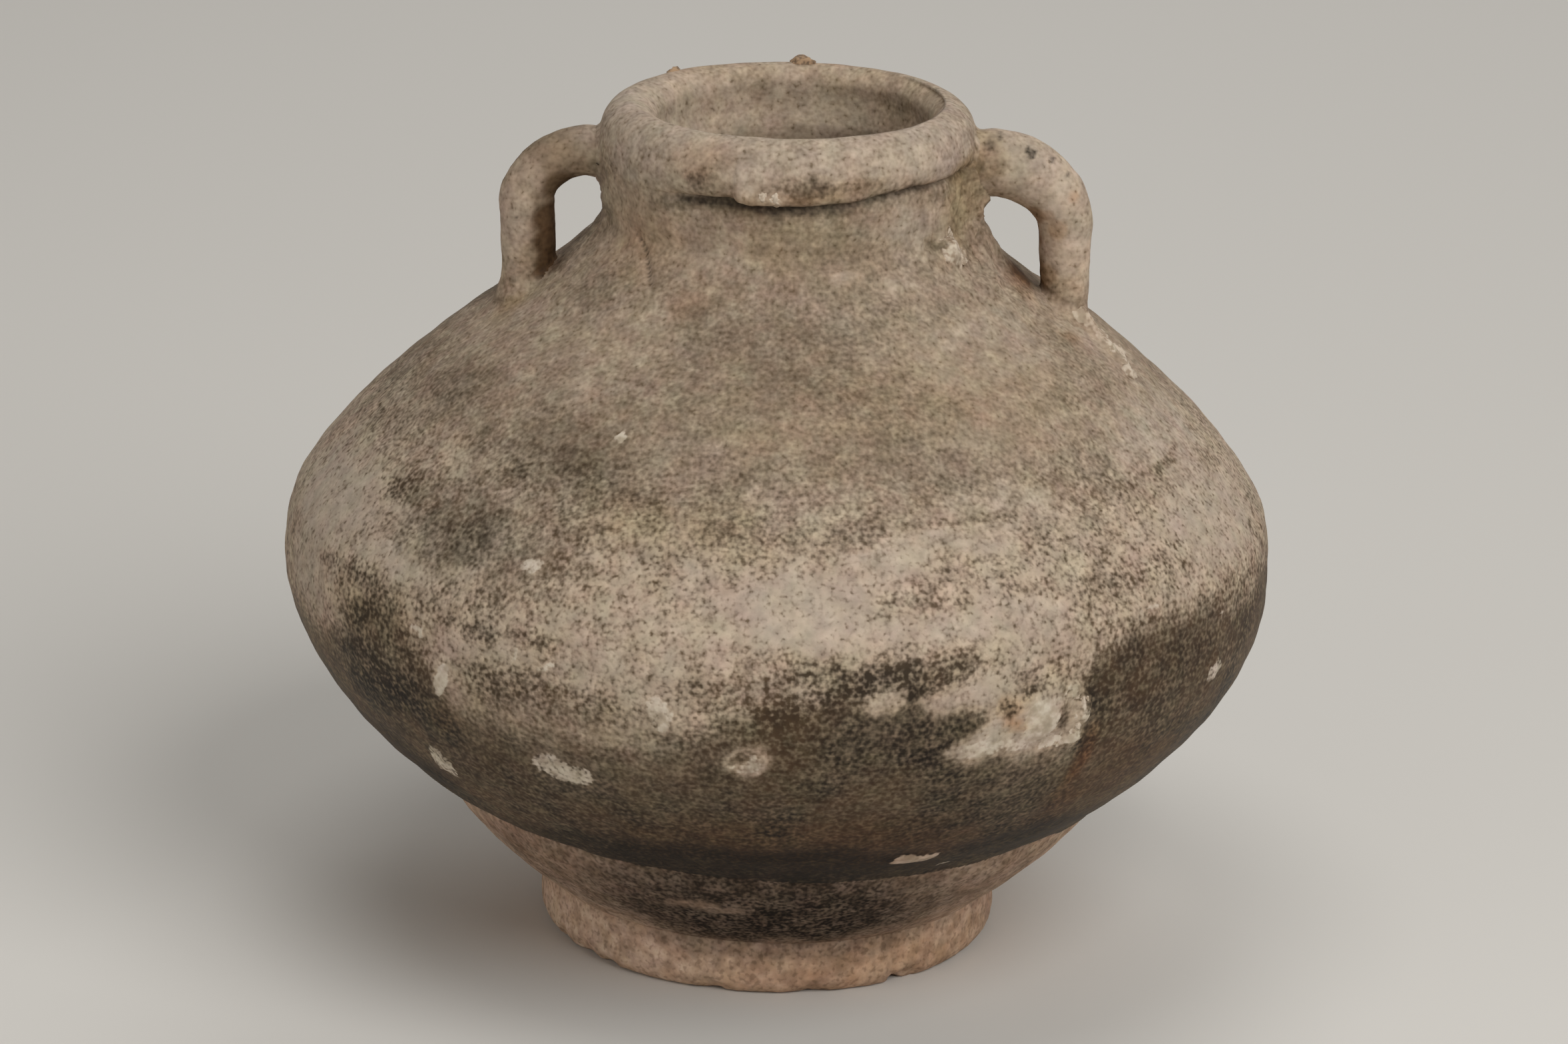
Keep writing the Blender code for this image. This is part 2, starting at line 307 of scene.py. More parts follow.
def fillet_rise(points: np.ndarray, normals: np.ndarray,
                distance: Callable[[np.ndarray], np.ndarray], reach: np.ndarray,
                most: float) -> np.ndarray:
    """How far a surface swells to meet another shape in a fillet.

    Args:
        points: places on the surface.
        normals: the surface's normals there.
        distance: gives the distance of places from the other shape.
        reach: how far from the meeting the fillet begins, at each place.
        most: the most that it rises, as a share of its reach.

    Returns:
        The rise along the normal at each place.
    """
    rise = np.zeros(len(points))
    for _ in range(FILLET_STEPS):
        gap = distance(points + rise[:, None] * normals)
        rise -= smooth_union(rise, gap, reach)
        rise = np.clip(rise, 0.0, most * reach)
    return rise


@dataclass(frozen=True)
class Mark:
    """A soft-edged oval on the skin, by its azimuth and height.

    Its half sizes lie on the surface and its lean turns it, in degrees. Its value is what it
    brings to its middle: a rise in millimetres, a painted channel's value or a tint's strength.
    """

    azimuth: float
    height: float
    half_width: float
    half_height: float
    value: float
    lean: float = 0.0
    cover: float = 1.0

    def weight(self, points: np.ndarray, warp: np.ndarray, soft: float) -> np.ndarray:
        """How strongly the mark covers each point, from 0 to 1.

        Args:
            points: places, one row each.
            warp: how far the mark's edge wanders at each point, across and up, in metres.
            soft: the width of its edge, as a share of its half size.

        Returns:
            One weight for each place.
        """
        turn = np.radians(turn_between(azimuths(points), self.azimuth))
        across = turn * axis_distance(points) + warp[:, 0]
        up = points[:, 2] - self.height * MM + warp[:, 1]
        lean = math.radians(self.lean)
        along = across * math.cos(lean) + up * math.sin(lean)
        beside = up * math.cos(lean) - across * math.sin(lean)
        far = np.hypot(along / (self.half_width * MM), beside / (self.half_height * MM))
        return 1.0 - smooth_step(1.0 - soft / 2, 1.0 + soft / 2, far)


def marks(*rows: tuple[float, ...]) -> tuple[Mark, ...]:
    """Marks from rows of azimuth, height, half width, half height, value and maybe lean."""
    return tuple(Mark(*row) for row in rows)


@dataclass(frozen=True)
class Spot:
    """A small mark on a handle's front, by its distance from the jar's axis and its height.

    It tints the clay where it has a colour, and is a dark pit where it has none.
    """

    out: float
    height: float
    size: float
    strength: float
    colour: str = ""

    def weight(self, points: np.ndarray) -> np.ndarray:
        """How strongly the spot covers each point, from 0 to its strength.

        Args:
            points: places, one row each.

        Returns:
            One weight for each place, nothing on the handle's back.
        """
        far = np.hypot(np.abs(points[:, 0]) - self.out * MM, points[:, 2] - self.height * MM)
        near = 1.0 - smooth_step(0.7, 1.3, far / (self.size * MM))
        return np.where(points[:, 1] < 0.0, self.strength * near, 0.0)


@dataclass
class Handle:
    """Sizes and path of one coil handle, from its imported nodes."""

    name: str
    node: str
    side: int
    crown_coil: float
    drop_coil: float
    foot_coil: float
    bend_height: float
    crown_shift: float
    root_drop: float
    root_fillet: float
    foot_fillet: float
    inner_fillet: float = 0.8 * MM
    sink: float = 1.6 * MM
    spacing: float = 0.3 * MM
    ring_steps: int = 56
    bend_steps: int = 6
    path: list[tuple[Vector, float]] = field(default_factory=list)

    def lay(self, form: "JarForm") -> None:
        """Work out the coil's path and radius, from inside the rim to inside the shoulder.

        Args:
            form: the jar that the handle joins.
        """
        low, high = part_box(self.node)
        reach = (high.x if self.side > 0 else -low.x) - self.drop_coil / 2
        crown = high.z - self.crown_coil / 2 + self.crown_shift
        bend_end = crown - self.bend_height
        bottom = form.height_at(reach) - self.sink
        wall = form.neck_radius
        stations = [(wall - self.sink, crown - self.root_drop), (wall, crown - 0.7 * self.root_drop)]
        for step in range(1, self.bend_steps + 1):
            angle = math.pi / 2 * step / self.bend_steps
            dip = self.root_drop * max(0.0, 0.5 - 0.3 * step)
            stations.append((wall + (reach - wall) * math.sin(angle),
                             crown - self.bend_height * (1.0 - math.cos(angle)) - dip))
        for share in (0.35, 0.7, 1.0):
            stations.append((reach, bend_end + (bottom - bend_end) * share))
        depths = (-crown, -bend_end, -bottom)
        coils = (self.crown_coil, self.drop_coil, self.foot_coil)
        for out, height in eased_run(stations, self.spacing):
            coil = float(np.interp(-height, depths, coils))
            self.path.append((Vector((self.side * out, 0.0, height)), coil / 2))

    def distance(self, points: np.ndarray) -> np.ndarray:
        """Distance from each point to the plain coil's surface.

        Args:
            points: places, one row each.

        Returns:
            One distance for each place, below zero within the coil.
        """
        nearest = np.full(len(points), 1.0)
        for centre, radius in self.path:
            nearest = np.minimum(nearest, np.linalg.norm(points - np.array(centre), axis=1) - radius)
        return nearest

    def fillet(self, points: np.ndarray) -> np.ndarray:
        """How far the luting clay spreads: one reach at the crown, others out and in at the foot.

        Args:
            points: places, one row each.

        Returns:
            The fillet's reach at each place.
        """
        crown = self.path[0][0].z
        drop = abs(self.path[-1][0].x)
        outward = smooth_step(drop - 3 * MM, drop + 2 * MM, np.abs(points[:, 0]))
        foot = self.inner_fillet + (self.foot_fillet - self.inner_fillet) * outward
        share = smooth_step(crown - 12 * MM, crown - 5 * MM, points[:, 2])
        return foot + (self.root_fillet - foot) * share

    def skin_mesh(self) -> bpy.types.Mesh:
        """The coil as a closed tube, extruded ring by ring along its path.

        Returns:
            The tube's mesh.
        """
        shape = bmesh.new()
        ring = bmesh.ops.create_circle(shape, segments=self.ring_steps, radius=1.0)["verts"]
        places = [self.place(index) for index in range(len(self.path))]
        bmesh.ops.transform(shape, matrix=places[0], verts=ring)
        edges = shape.edges[:]
        bmesh.ops.contextual_create(shape, geom=edges)
        for before, here in zip(places, places[1:]):
            made = bmesh.ops.extrude_edge_only(shape, edges=edges)["geom"]
            ring = [part for part in made if isinstance(part, bmesh.types.BMVert)]
            edges = [part for part in made if isinstance(part, bmesh.types.BMEdge)
                     and all(vert in ring for vert in part.verts)]
            bmesh.ops.transform(shape, matrix=here @ before.inverted(), verts=ring)
        bmesh.ops.contextual_create(shape, geom=edges)
        bmesh.ops.recalc_face_normals(shape, faces=shape.faces[:])
        return finished(shape, self.name)

    def place(self, index: int) -> Matrix:
        """The frame of one ring: square to the path there, scaled to the coil's radius.

        Args:
            index: the ring's place along the path.

        Returns:
            The matrix that takes a circle of radius 1 there.
        """
        centre, radius = self.path[index]
        before = self.path[max(index - 1, 0)][0]
        after = self.path[min(index + 1, len(self.path) - 1)][0]
        along = (after - before).normalized()
        across = Vector((0.0, 1.0, 0.0))
        beside = across.cross(along)
        turn = Matrix((across, beside, along)).transposed().to_4x4()
        return Matrix.Translation(centre) @ turn @ Matrix.Scale(radius, 4)


@dataclass
class JarForm:
    """The jar's plain outline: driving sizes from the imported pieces, the rest in its own fields."""

    base_radius: float = 25.9 * MM
    glaze_line_height: float = 19.2 * MM
    glaze_line_radius: float = 37.7 * MM
    bare_power: float = 1.4
    glazed_power: float = 2.0
    wall: float = 4.0 * MM
    floor_thickness: float = 5.5 * MM
    neck_radius: float = 19.7 * MM
    neck_flare: float = 4.4 * MM
    neck_draw: float = 5.6 * MM
    neck_draw_power: float = 1.5
    bore_radius: float = 16.0 * MM
    throat_radius: float = 18.5 * MM
    crease_depth: float = 0.5 * MM
    crease_drop: float = 0.25 * MM
    wide_spacing: float = 0.8 * MM
    neck_spacing: float = 0.45 * MM
    rim_spacing: float = 0.32 * MM
    hidden_spacing: float = 2.2 * MM
    turn_steps: int = 504

    def __post_init__(self) -> None:
        """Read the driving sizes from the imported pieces."""
        self.foot_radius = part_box("foot")[1].x
        self.base_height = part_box("lower_body")[0].z
        self.belly_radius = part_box("lower_body")[1].x
        self.belly_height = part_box("upper_body")[0].z - SEAM_GAP
        self.shoulder_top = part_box("upper_body")[1].z
        self.collar_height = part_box("neck")[1].z
        self.rim_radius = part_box("rim")[1].x
        self.rim_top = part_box("rim")[1].z
        self.seam_heights = (self.belly_height, self.shoulder_top,
                             self.collar_height - self.crease_drop)
        outside = self.lower_outside() + self.shoulder_outside()[1:] + self.neck_outside()[1:]
        outside += self.rim_turn()[1:]
        crest = max(range(len(outside)), key=lambda index: outside[index][1])
        self.outside = np.array(outside[:crest + 1])

    def swell(self, start: tuple[float, float], end: tuple[float, float], power: float) -> Line:
        """Points that open fast at first and come upright at the end.

        Args:
            start: the lowest (radius, height) point.
            end: the highest.
            power: how early the line opens.

        Returns:
            The points, with start and end among them.
        """
        count = max(2, round(math.dist(start, end) / self.wide_spacing))
        return [(start[0] + (end[0] - start[0]) * (1.0 - (1.0 - step / count) ** power),
                 start[1] + (end[1] - start[1]) * step / count) for step in range(count + 1)]

    def lower_outside(self) -> Line:
        """Outside of the lower body, from the foot up to the belly.

        Returns:
            Radius and height of each point.
        """
        line = (self.glaze_line_radius, self.glaze_line_height)
        bare = self.swell((self.base_radius, self.base_height), line, self.bare_power)
        glazed = self.swell(line, (self.belly_radius, self.belly_height), self.glazed_power)
        return bare + glazed[1:]

    def shoulder_outside(self) -> Line:
        """Outside of the upper body, from the belly up to the foot of the neck.

        Returns:
            Radius and height of each point.
        """
        rise = self.shoulder_top - self.belly_height
        draw = self.belly_radius - self.neck_radius - self.neck_flare
        shares = ((0.0, 0.0), (0.12, 0.008), (0.235, 0.052), (0.42, 0.21), (0.6, 0.417),
                  (0.76, 0.63), (0.885, 0.842), (1.0, 1.0))
        stations = [(self.belly_radius - draw * inward, self.belly_height + rise * up)
                    for up, inward in shares]
        return eased_run(stations, self.wide_spacing)

    def neck_outside(self) -> Line:
        """Outside of the neck, from the shoulder up to the crease under the rim.

        Returns:
            Radius and height of each point.
        """
        stations = []
        for step in range(6):
            share = step / 5
            flare = self.neck_flare * (1.0 - share) ** self.neck_draw_power
            stations.append((self.neck_radius + flare, self.shoulder_top + self.neck_draw * share))
        stations.append((self.neck_radius, self.collar_height - 1.3 * MM))
        stations.append((self.neck_radius - self.crease_depth,
                         self.collar_height - self.crease_drop))
        return eased_run(stations, self.neck_spacing)

    def rim_turn(self) -> Line:
        """The rolled rim, from the crease over its crest and back down to the crease's level.

        Returns:
            Radius and height of each point.
        """
        tall = (self.rim_top - self.collar_height) / 6.4
        stations = ((1.1, -0.25), (0.5, -0.06), (0.14, 0.3), (0.02, 0.9), (0.0, 1.9), (0.1, 3.0),
                    (0.42, 4.1), (1.0, 5.1), (1.9, 5.9), (3.1, 6.38), (4.1, 6.15), (4.75, 5.6),
                    (5.1, 4.8), (5.15, 3.8), (5.0, 2.4), (4.75, 1.0), (4.6, -0.25))
        return eased_run([(self.rim_radius - inset * MM, self.collar_height + up * tall)
                          for inset, up in stations], self.rim_spacing)

    def neck_inside(self) -> Line:
        """Inside of the neck, from the rim down to the throat.

        Returns:
            Radius and height of each point.
        """
        top = self.collar_height - self.crease_drop
        return eased_run([
            (self.rim_radius - 4.6 * MM, top),
            (self.bore_radius + 0.5 * MM, top - 2.5 * MM),
            (self.bore_radius, top - 6.5 * MM),
            (self.bore_radius, self.shoulder_top + self.neck_draw),
            (self.bore_radius + 0.9 * MM, self.shoulder_top + 0.45 * self.neck_draw),
            (self.throat_radius, self.shoulder_top),
        ], 2 * self.neck_spacing)

    def body_inside(self) -> tuple[Line, Line]:
        """Inside of the upper and of the lower body, from the throat down to the floor's middle.

        Returns:
            Radius and height of each point.
        """
        outer = np.array(self.lower_outside() + self.shoulder_outside()[1:])
        along = np.gradient(outer, axis=0)
        along /= np.linalg.norm(along, axis=1)[:, None]
        inner = outer + self.wall * np.stack([-along[:, 1], along[:, 0]], axis=1)
        floor = self.base_height + self.floor_thickness
        belly = (self.belly_radius - self.wall, self.belly_height)
        upper = [tuple(p) for p in inner[::-1]
                 if belly[1] + 2 * MM < p[1] < self.shoulder_top - 4 * MM]
        lower = [tuple(p) for p in inner[::-1] if floor + 3 * MM < p[1] < belly[1] - 2 * MM]
        shoulder = eased_run([(self.throat_radius, self.shoulder_top)] + upper[::4] + [belly],
                             self.hidden_spacing)
        bowl = eased_run([belly] + lower[::4] + [(0.62 * self.base_radius, floor + 0.2 * MM),
                                                 (0.3 * self.base_radius, floor), (0.0, floor)],
                         self.hidden_spacing)
        return shoulder, bowl

    def outline(self) -> Line:
        """The whole closed outline, from the middle of the underside round to the floor inside.

        Returns:
            Radius and height of each point.
        """
        shoulder, bowl = self.body_inside()
        underside = [(0.0, self.base_height), (0.5 * self.base_radius, self.base_height)]
        runs = [self.lower_outside(), self.shoulder_outside()[1:], self.neck_outside()[1:],
                self.rim_turn()[1:], self.neck_inside()[1:], shoulder[1:], bowl[1:]]
        return underside + [point for run in runs for point in run]

    def radius_at(self, heights: np.ndarray) -> np.ndarray:
        """The outside's radius at each height, below the rim's crest."""
        return np.interp(heights, self.outside[:, 1], self.outside[:, 0])

    def height_at(self, radius: float) -> float:
        """Height of the shoulder's or neck's outside at a distance from the axis."""
        above = self.outside[self.outside[:, 1] > self.belly_height]
        return float(np.interp(-radius, -above[:, 0], above[:, 1]))

    def distance(self, points: np.ndarray) -> np.ndarray:
        """Distance from each point to the jar's outside.

        Args:
            points: places, one row each.

        Returns:
            One distance for each place, below zero within the clay.
        """
        flat = np.stack([axis_distance(points), points[:, 2]], axis=1)
        starts, ends = self.outside[:-1], self.outside[1:]
        nearest = np.full(len(points), 1.0)
        for start, end in zip(starts, ends):
            edge = end - start
            share = np.clip((flat - start) @ edge / (edge @ edge), 0.0, 1.0)
            gap = np.linalg.norm(flat - start - share[:, None] * edge, axis=1)
            nearest = np.minimum(nearest, gap)
        inside = flat[:, 0] < self.radius_at(flat[:, 1])
        return np.where(inside, -nearest, nearest)


@dataclass
class ClayHand:
    """What the potter's hands, the kiln and the ground did to the plain outline."""

    form: JarForm
    handles: list[Handle]
    rim_tilt: float = math.radians(0.96)
    lump_rise: float = 0.16 * MM
    ripple_rise: float = 0.08 * MM
    tooth_rise: float = 0.045 * MM
    ring_rise: float = 0.035 * MM
    ring_pitch: float = 3.1 * MM
    ring_wander: float = 1.6
    inner_ring_gain: float = 5.0
    glaze_thickness: float = 0.42 * MM
    smear_hold: float = 0.6
    mouth_shift: float = 0.5 * MM
    funnel_depth: float = 3.6 * MM
    mouth_wear: float = 0.9 * MM
    fillet_near: float = 8 * MM
    fillet_most: float = 0.45
    rough_pitch: float = 1.4 * MM
    # shift to the right, in millimetres, by height
    lean: Stations = (
        (0, 0), (16, 0.2), (32, 0.25), (44, -0.15), (58, 0.3), (72, 0.35), (84, -0.1), (96, -0.2))
    # heights in millimetres, by azimuth
    glaze_line: Stations = (
        (-150, 19.4), (-110, 20.6), (-72, 21.8), (-52, 21.2), (-42, 20.2), (-20, 19.1), (4, 18.6),
        (34, 18.5), (50, 19.1), (72, 17.5), (110, 18.6), (150, 19.8))
    collar_edge: Stations = (
        (-170, 89.3), (-125, 88.8), (-90, 88.6), (-60, 88.9), (-34, 89.2), (-16, 89.4), (-5, 88.8),
        (10, 88.85), (20, 89), (30, 89.5), (42, 89.75), (55, 89.6), (70, 89.8), (88, 89.5),
        (115, 88.9), (150, 89.5))
    # shares and millimetres of clay, by azimuth
    smear: Stations = (
        (-150, 0), (-120, 0.55), (-95, 1), (-46, 1), (-39, 0.75), (-35, 0.15), (-31, 0), (74, 0),
        (86, 1), (100, 0.9), (112, 0))
    rim_swell: Stations = (
        (-180, 0.2), (-135, 0.5), (-90, 0.5), (-60, 0.2), (-30, 0), (120, 0), (150, 0.15))
    funnel: Stations = (
        (-170, 0.3), (-130, 0.75), (-80, 1), (-40, 0.85), (-15, 0.1), (20, 0), (60, 0.3),
        (100, 0.5), (150, 0.35))
    reliefs: tuple[Mark, ...] = marks(
        (-14.8, 91, 0.5, 1.6, 0.4, -4), (-9, 89.5, 2.4, 0.6, 0.35), (58.5, 81.6, 1.3, 1, 0.85),
        (52.5, 83, 1.1, 0.9, -0.35), (16.5, 80.8, 1.9, 0.8, 0.35, 12), (32, 80, 1, 0.7, 0.35),
        (60, 84, 1.2, 2.4, 0.3), (-46, 80.9, 3.4, 0.3, -0.3, -40), (-13, 89.4, 1, 0.7, 0.45, -20),
        (-2.9, 38.3, 2.3, 2.3, 0.2), (-2.9, 38.3, 1.2, 1.1, -0.45),
        (-25, 35.6, 3.2, 1.6, -0.3, -12), (-45.5, 30, 2.6, 0.7, 0.2, 38),
        (21, 23, 2.9, 0.6, 0.3, 5), (30.5, 41.6, 2.7, 2.3, 0.4), (35.1, 44.1, 0.8, 0.9, 0.45),
        (36.8, 41.6, 0.7, 1.4, 0.45), (35.2, 38.4, 1.1, 0.7, 0.4), (34.3, 40.6, 0.8, 1.2, -0.15),
        (83.5, 69.8, 2.8, 0.6, 0.5, 53), (86, 71.7, 1, 0.8, 0.6), (-40, 42.3, 1.2, 2.2, 0.25, -20),
        (-12, 43, 1.7, 2, 0.2), (60.4, 40.4, 0.7, 2, 0.25), (-82, 71, 9, 4, -0.35),
        (88, 83.4, 4, 4.6, 1.25), (-88, 84, 4, 4, 0.3),
    )
    rough_places: tuple[Mark, ...] = marks(
        (68, 83, 7, 6, 0.5), (84, 71, 5, 4, 0.25), (-72, 82, 8, 7, 0.16), (31, 41.5, 4.2, 3.6, 0.2),
        (-12, 90, 4.5, 1.6, 0.16), (100, 84, 6, 6, 0.2), (-100, 84, 6, 6, 0.16),
    )

    def glaze_line_at(self, points: np.ndarray) -> np.ndarray:
        """Height of the glaze's lower edge at each point's azimuth."""
        return around(azimuths(points), self.glaze_line) * MM + 0.25 * MM * grain(points, 6 * MM, 5, 2)

    def is_outside(self, points: np.ndarray) -> np.ndarray:
        """Whether each vertex of the plain outline is on the jar's outside."""
        return axis_distance(points) > self.form.radius_at(points[:, 2]) - 1.2 * MM

    def texture(self, points: np.ndarray) -> np.ndarray:
        """Rise of the fired surface's own unevenness.

        Args:
            points: vertices of the plain form.

        Returns:
            The rise of each.
        """
        return (self.lump_rise * grain(points, 24 * MM, 1)
                + self.ripple_rise * grain(points, 7 * MM, 2, 2)
                + self.tooth_rise * grain(points, 2.2 * MM, 3))

    def rings(self, points: np.ndarray, outside: np.ndarray) -> np.ndarray:
        """Rise of the throwing rings, stronger and wider inside the jar.

        Args:
            points: vertices of the plain outline.
            outside: which of them are on the outside.

        Returns:
            The rise of each.
        """
        wander = self.ring_wander * grain(points, 18 * MM, 4)
        turns = math.tau * points[:, 2] / self.ring_pitch
        fine = self.ring_rise * np.sin(turns + wander)
        coarse = self.inner_ring_gain * self.ring_rise * np.sin(turns / 2 + wander)
        return np.where(outside, fine, coarse)

    def glaze_step(self, points: np.ndarray) -> np.ndarray:
        """Rise of the glaze over the bare clay, with a thicker roll along its edge.

        Args:
            points: vertices of the plain outline's outside.

        Returns:
            The rise of each.
        """
        above = points[:, 2] - self.glaze_line_at(points)
        step = smooth_step(-0.3 * MM, 0.5 * MM, above) * (1.0 - smooth_step(3 * MM, 14 * MM, above))
        roll = np.exp(-((above - 0.9 * MM) / (0.9 * MM)) ** 2)
        return self.glaze_thickness * (0.75 * step + 0.25 * roll)

    def collar(self, points: np.ndarray) -> tuple[np.ndarray, np.ndarray]:
        """How the rim's under-edge sags, and how far clay smeared down from it fills the neck.

        Args:
            points: vertices of the plain outline's outside.

        Returns:
            The rise along Z and the spread away from the axis, for each vertex.
        """
        azimuth, height = azimuths(points), points[:, 2]
        edge = self.form.collar_height
        sag = around(azimuth, self.collar_edge) * MM - edge + 0.12 * MM * grain(points, 3 * MM, 6, 2)
        near = smooth_step(edge - 4 * MM, edge - 0.5 * MM, height)
        near *= 1.0 - smooth_step(edge + 0.8 * MM, edge + 3.5 * MM, height)
        smear = around(azimuth, self.smear) + 0.15 * grain(points, 5 * MM, 7, 2)
        fill = smooth_step(edge - 10 * MM, edge - 1.2 * MM, height + 0.8 * MM * grain(points, 4 * MM, 8))
        fill *= 1.0 - smooth_step(edge + 0.6 * MM, edge + 2.0 * MM, height)
        gap = np.clip(self.form.rim_radius - axis_distance(points), 0.0, None)
        swell = around(azimuth, self.rim_swell) * MM * smooth_step(edge - 2 * MM, edge + 1 * MM, height)
        smear = np.clip(smear, 0.0, 1.0)
        return sag * near * (1.0 - self.smear_hold * smear), smear * fill * gap + swell

    def mouth(self, points: np.ndarray) -> np.ndarray:
        """How the inside of the rim is set over to the right and worn to a funnel on the left.

        Args:
            points: vertices of the plain outline's inside.

        Returns:
            How far each one moves, along X, Y and Z.
        """
        height = points[:, 2]
        radius = np.maximum(axis_distance(points), 1e-6)
        edge, top = self.form.collar_height, self.form.rim_top
        funnel = around(azimuths(points), self.funnel)
        band = smooth_step(edge - 24 * MM, edge - 7 * MM, height)
        band *= 1.0 - smooth_step(edge - 5 * MM, edge + 6 * MM, height)
        moved = -self.funnel_depth * (funnel * band / radius)[:, None] * points
        moved[:, 0] += self.mouth_shift * smooth_step(edge - 7 * MM, edge, height)
        rim = self.form.rim_radius
        inner = 1.0 - smooth_step(rim - 5.2 * MM, rim - 2.6 * MM, radius)
        worn = smooth_step(top - 3 * MM, top - 0.5 * MM, height)
        moved[:, 2] = -self.mouth_wear * funnel * inner * worn
        return moved

    def fillets(self, points: np.ndarray, normals: np.ndarray) -> np.ndarray:
        """Rise of the luting clay where the handles join, on the jar's side.

        Args:
            points: vertices of the plain outline.
            normals: their normals.

        Returns:
            The rise of each.
        """
        rise = np.zeros(len(points))
        for handle in self.handles:
            near = np.nonzero(handle.distance(points) < self.fillet_near)[0]
            lifted = fillet_rise(points[near], normals[near], handle.distance,
                                 handle.fillet(points[near]), self.fillet_most)
            rise[near] = np.maximum(rise[near], lifted)
        return rise

    def relief(self, points: np.ndarray) -> np.ndarray:
        """Rise of the single lumps, scars and dents, and of the places that are rough.

        Args:
            points: vertices of the plain outline's outside.

        Returns:
            The rise of each.
        """
        warp = 0.25 * MM * np.stack([grain(points, 2 * MM, 9), grain(points, 2 * MM, 10)], axis=1)
        lumpy = grain(points, self.rough_pitch, 11, 3)
        rise = sum(mark.value * mark.weight(points, warp, 1.2) for mark in self.reliefs)
        rise += sum(mark.value * lumpy * mark.weight(points, warp, 1.4) for mark in self.rough_places)
        return rise * MM

    def worked(self, points: np.ndarray, normals: np.ndarray) -> np.ndarray:
        """Move the plain outline's vertices to the real, uneven surface.

        Args:
            points: the spun outline's vertices.
            normals: their normals.

        Returns:
            The vertices' new places.
        """
        outside = self.is_outside(points)
        rise = self.glaze_step(points) + self.relief(points) + self.fillets(points, normals)
        rise = self.texture(points) + self.rings(points, outside) + np.where(outside, rise, 0.0)
        hidden = points[:, 2] < self.form.base_height + 0.2 * MM
        moved = points + normals * np.where(hidden, 0.0, rise)[:, None]
        sag, spread = self.collar(points)
        away = points[:, :2] / np.maximum(axis_distance(points), 1e-6)[:, None]
        moved[:, :2] += away * np.where(outside, spread, 0.0)[:, None]
        moved[:, 2] += np.where(outside, sag, 0.0)
        moved += np.where(outside, 0.0, 1.0)[:, None] * self.mouth(points)
        return self.leant(moved)

    def leant(self, points: np.ndarray) -> np.ndarray:
        """Tilt the rim and set the wall a little to one side, as the turned form warped.

        Args:
            points: places, one row each.

        Returns:
            Their new places.
        """
        moved = points.copy()
        moved[:, 0] += MM * read_off(self.lean, points[:, 2] / MM)
        high = smooth_step(self.form.shoulder_top, self.form.collar_height, points[:, 2])
        moved[:, 2] += points[:, 0] * math.tan(self.rim_tilt) * high
        return moved


def tinted(base: np.ndarray, colour: str, share: np.ndarray) -> np.ndarray:
    """Blend rows of colour towards one tint, each by its own share."""
    return base + (np.array(linear(colour)) / TINT_WHITE - base) * share[:, None]


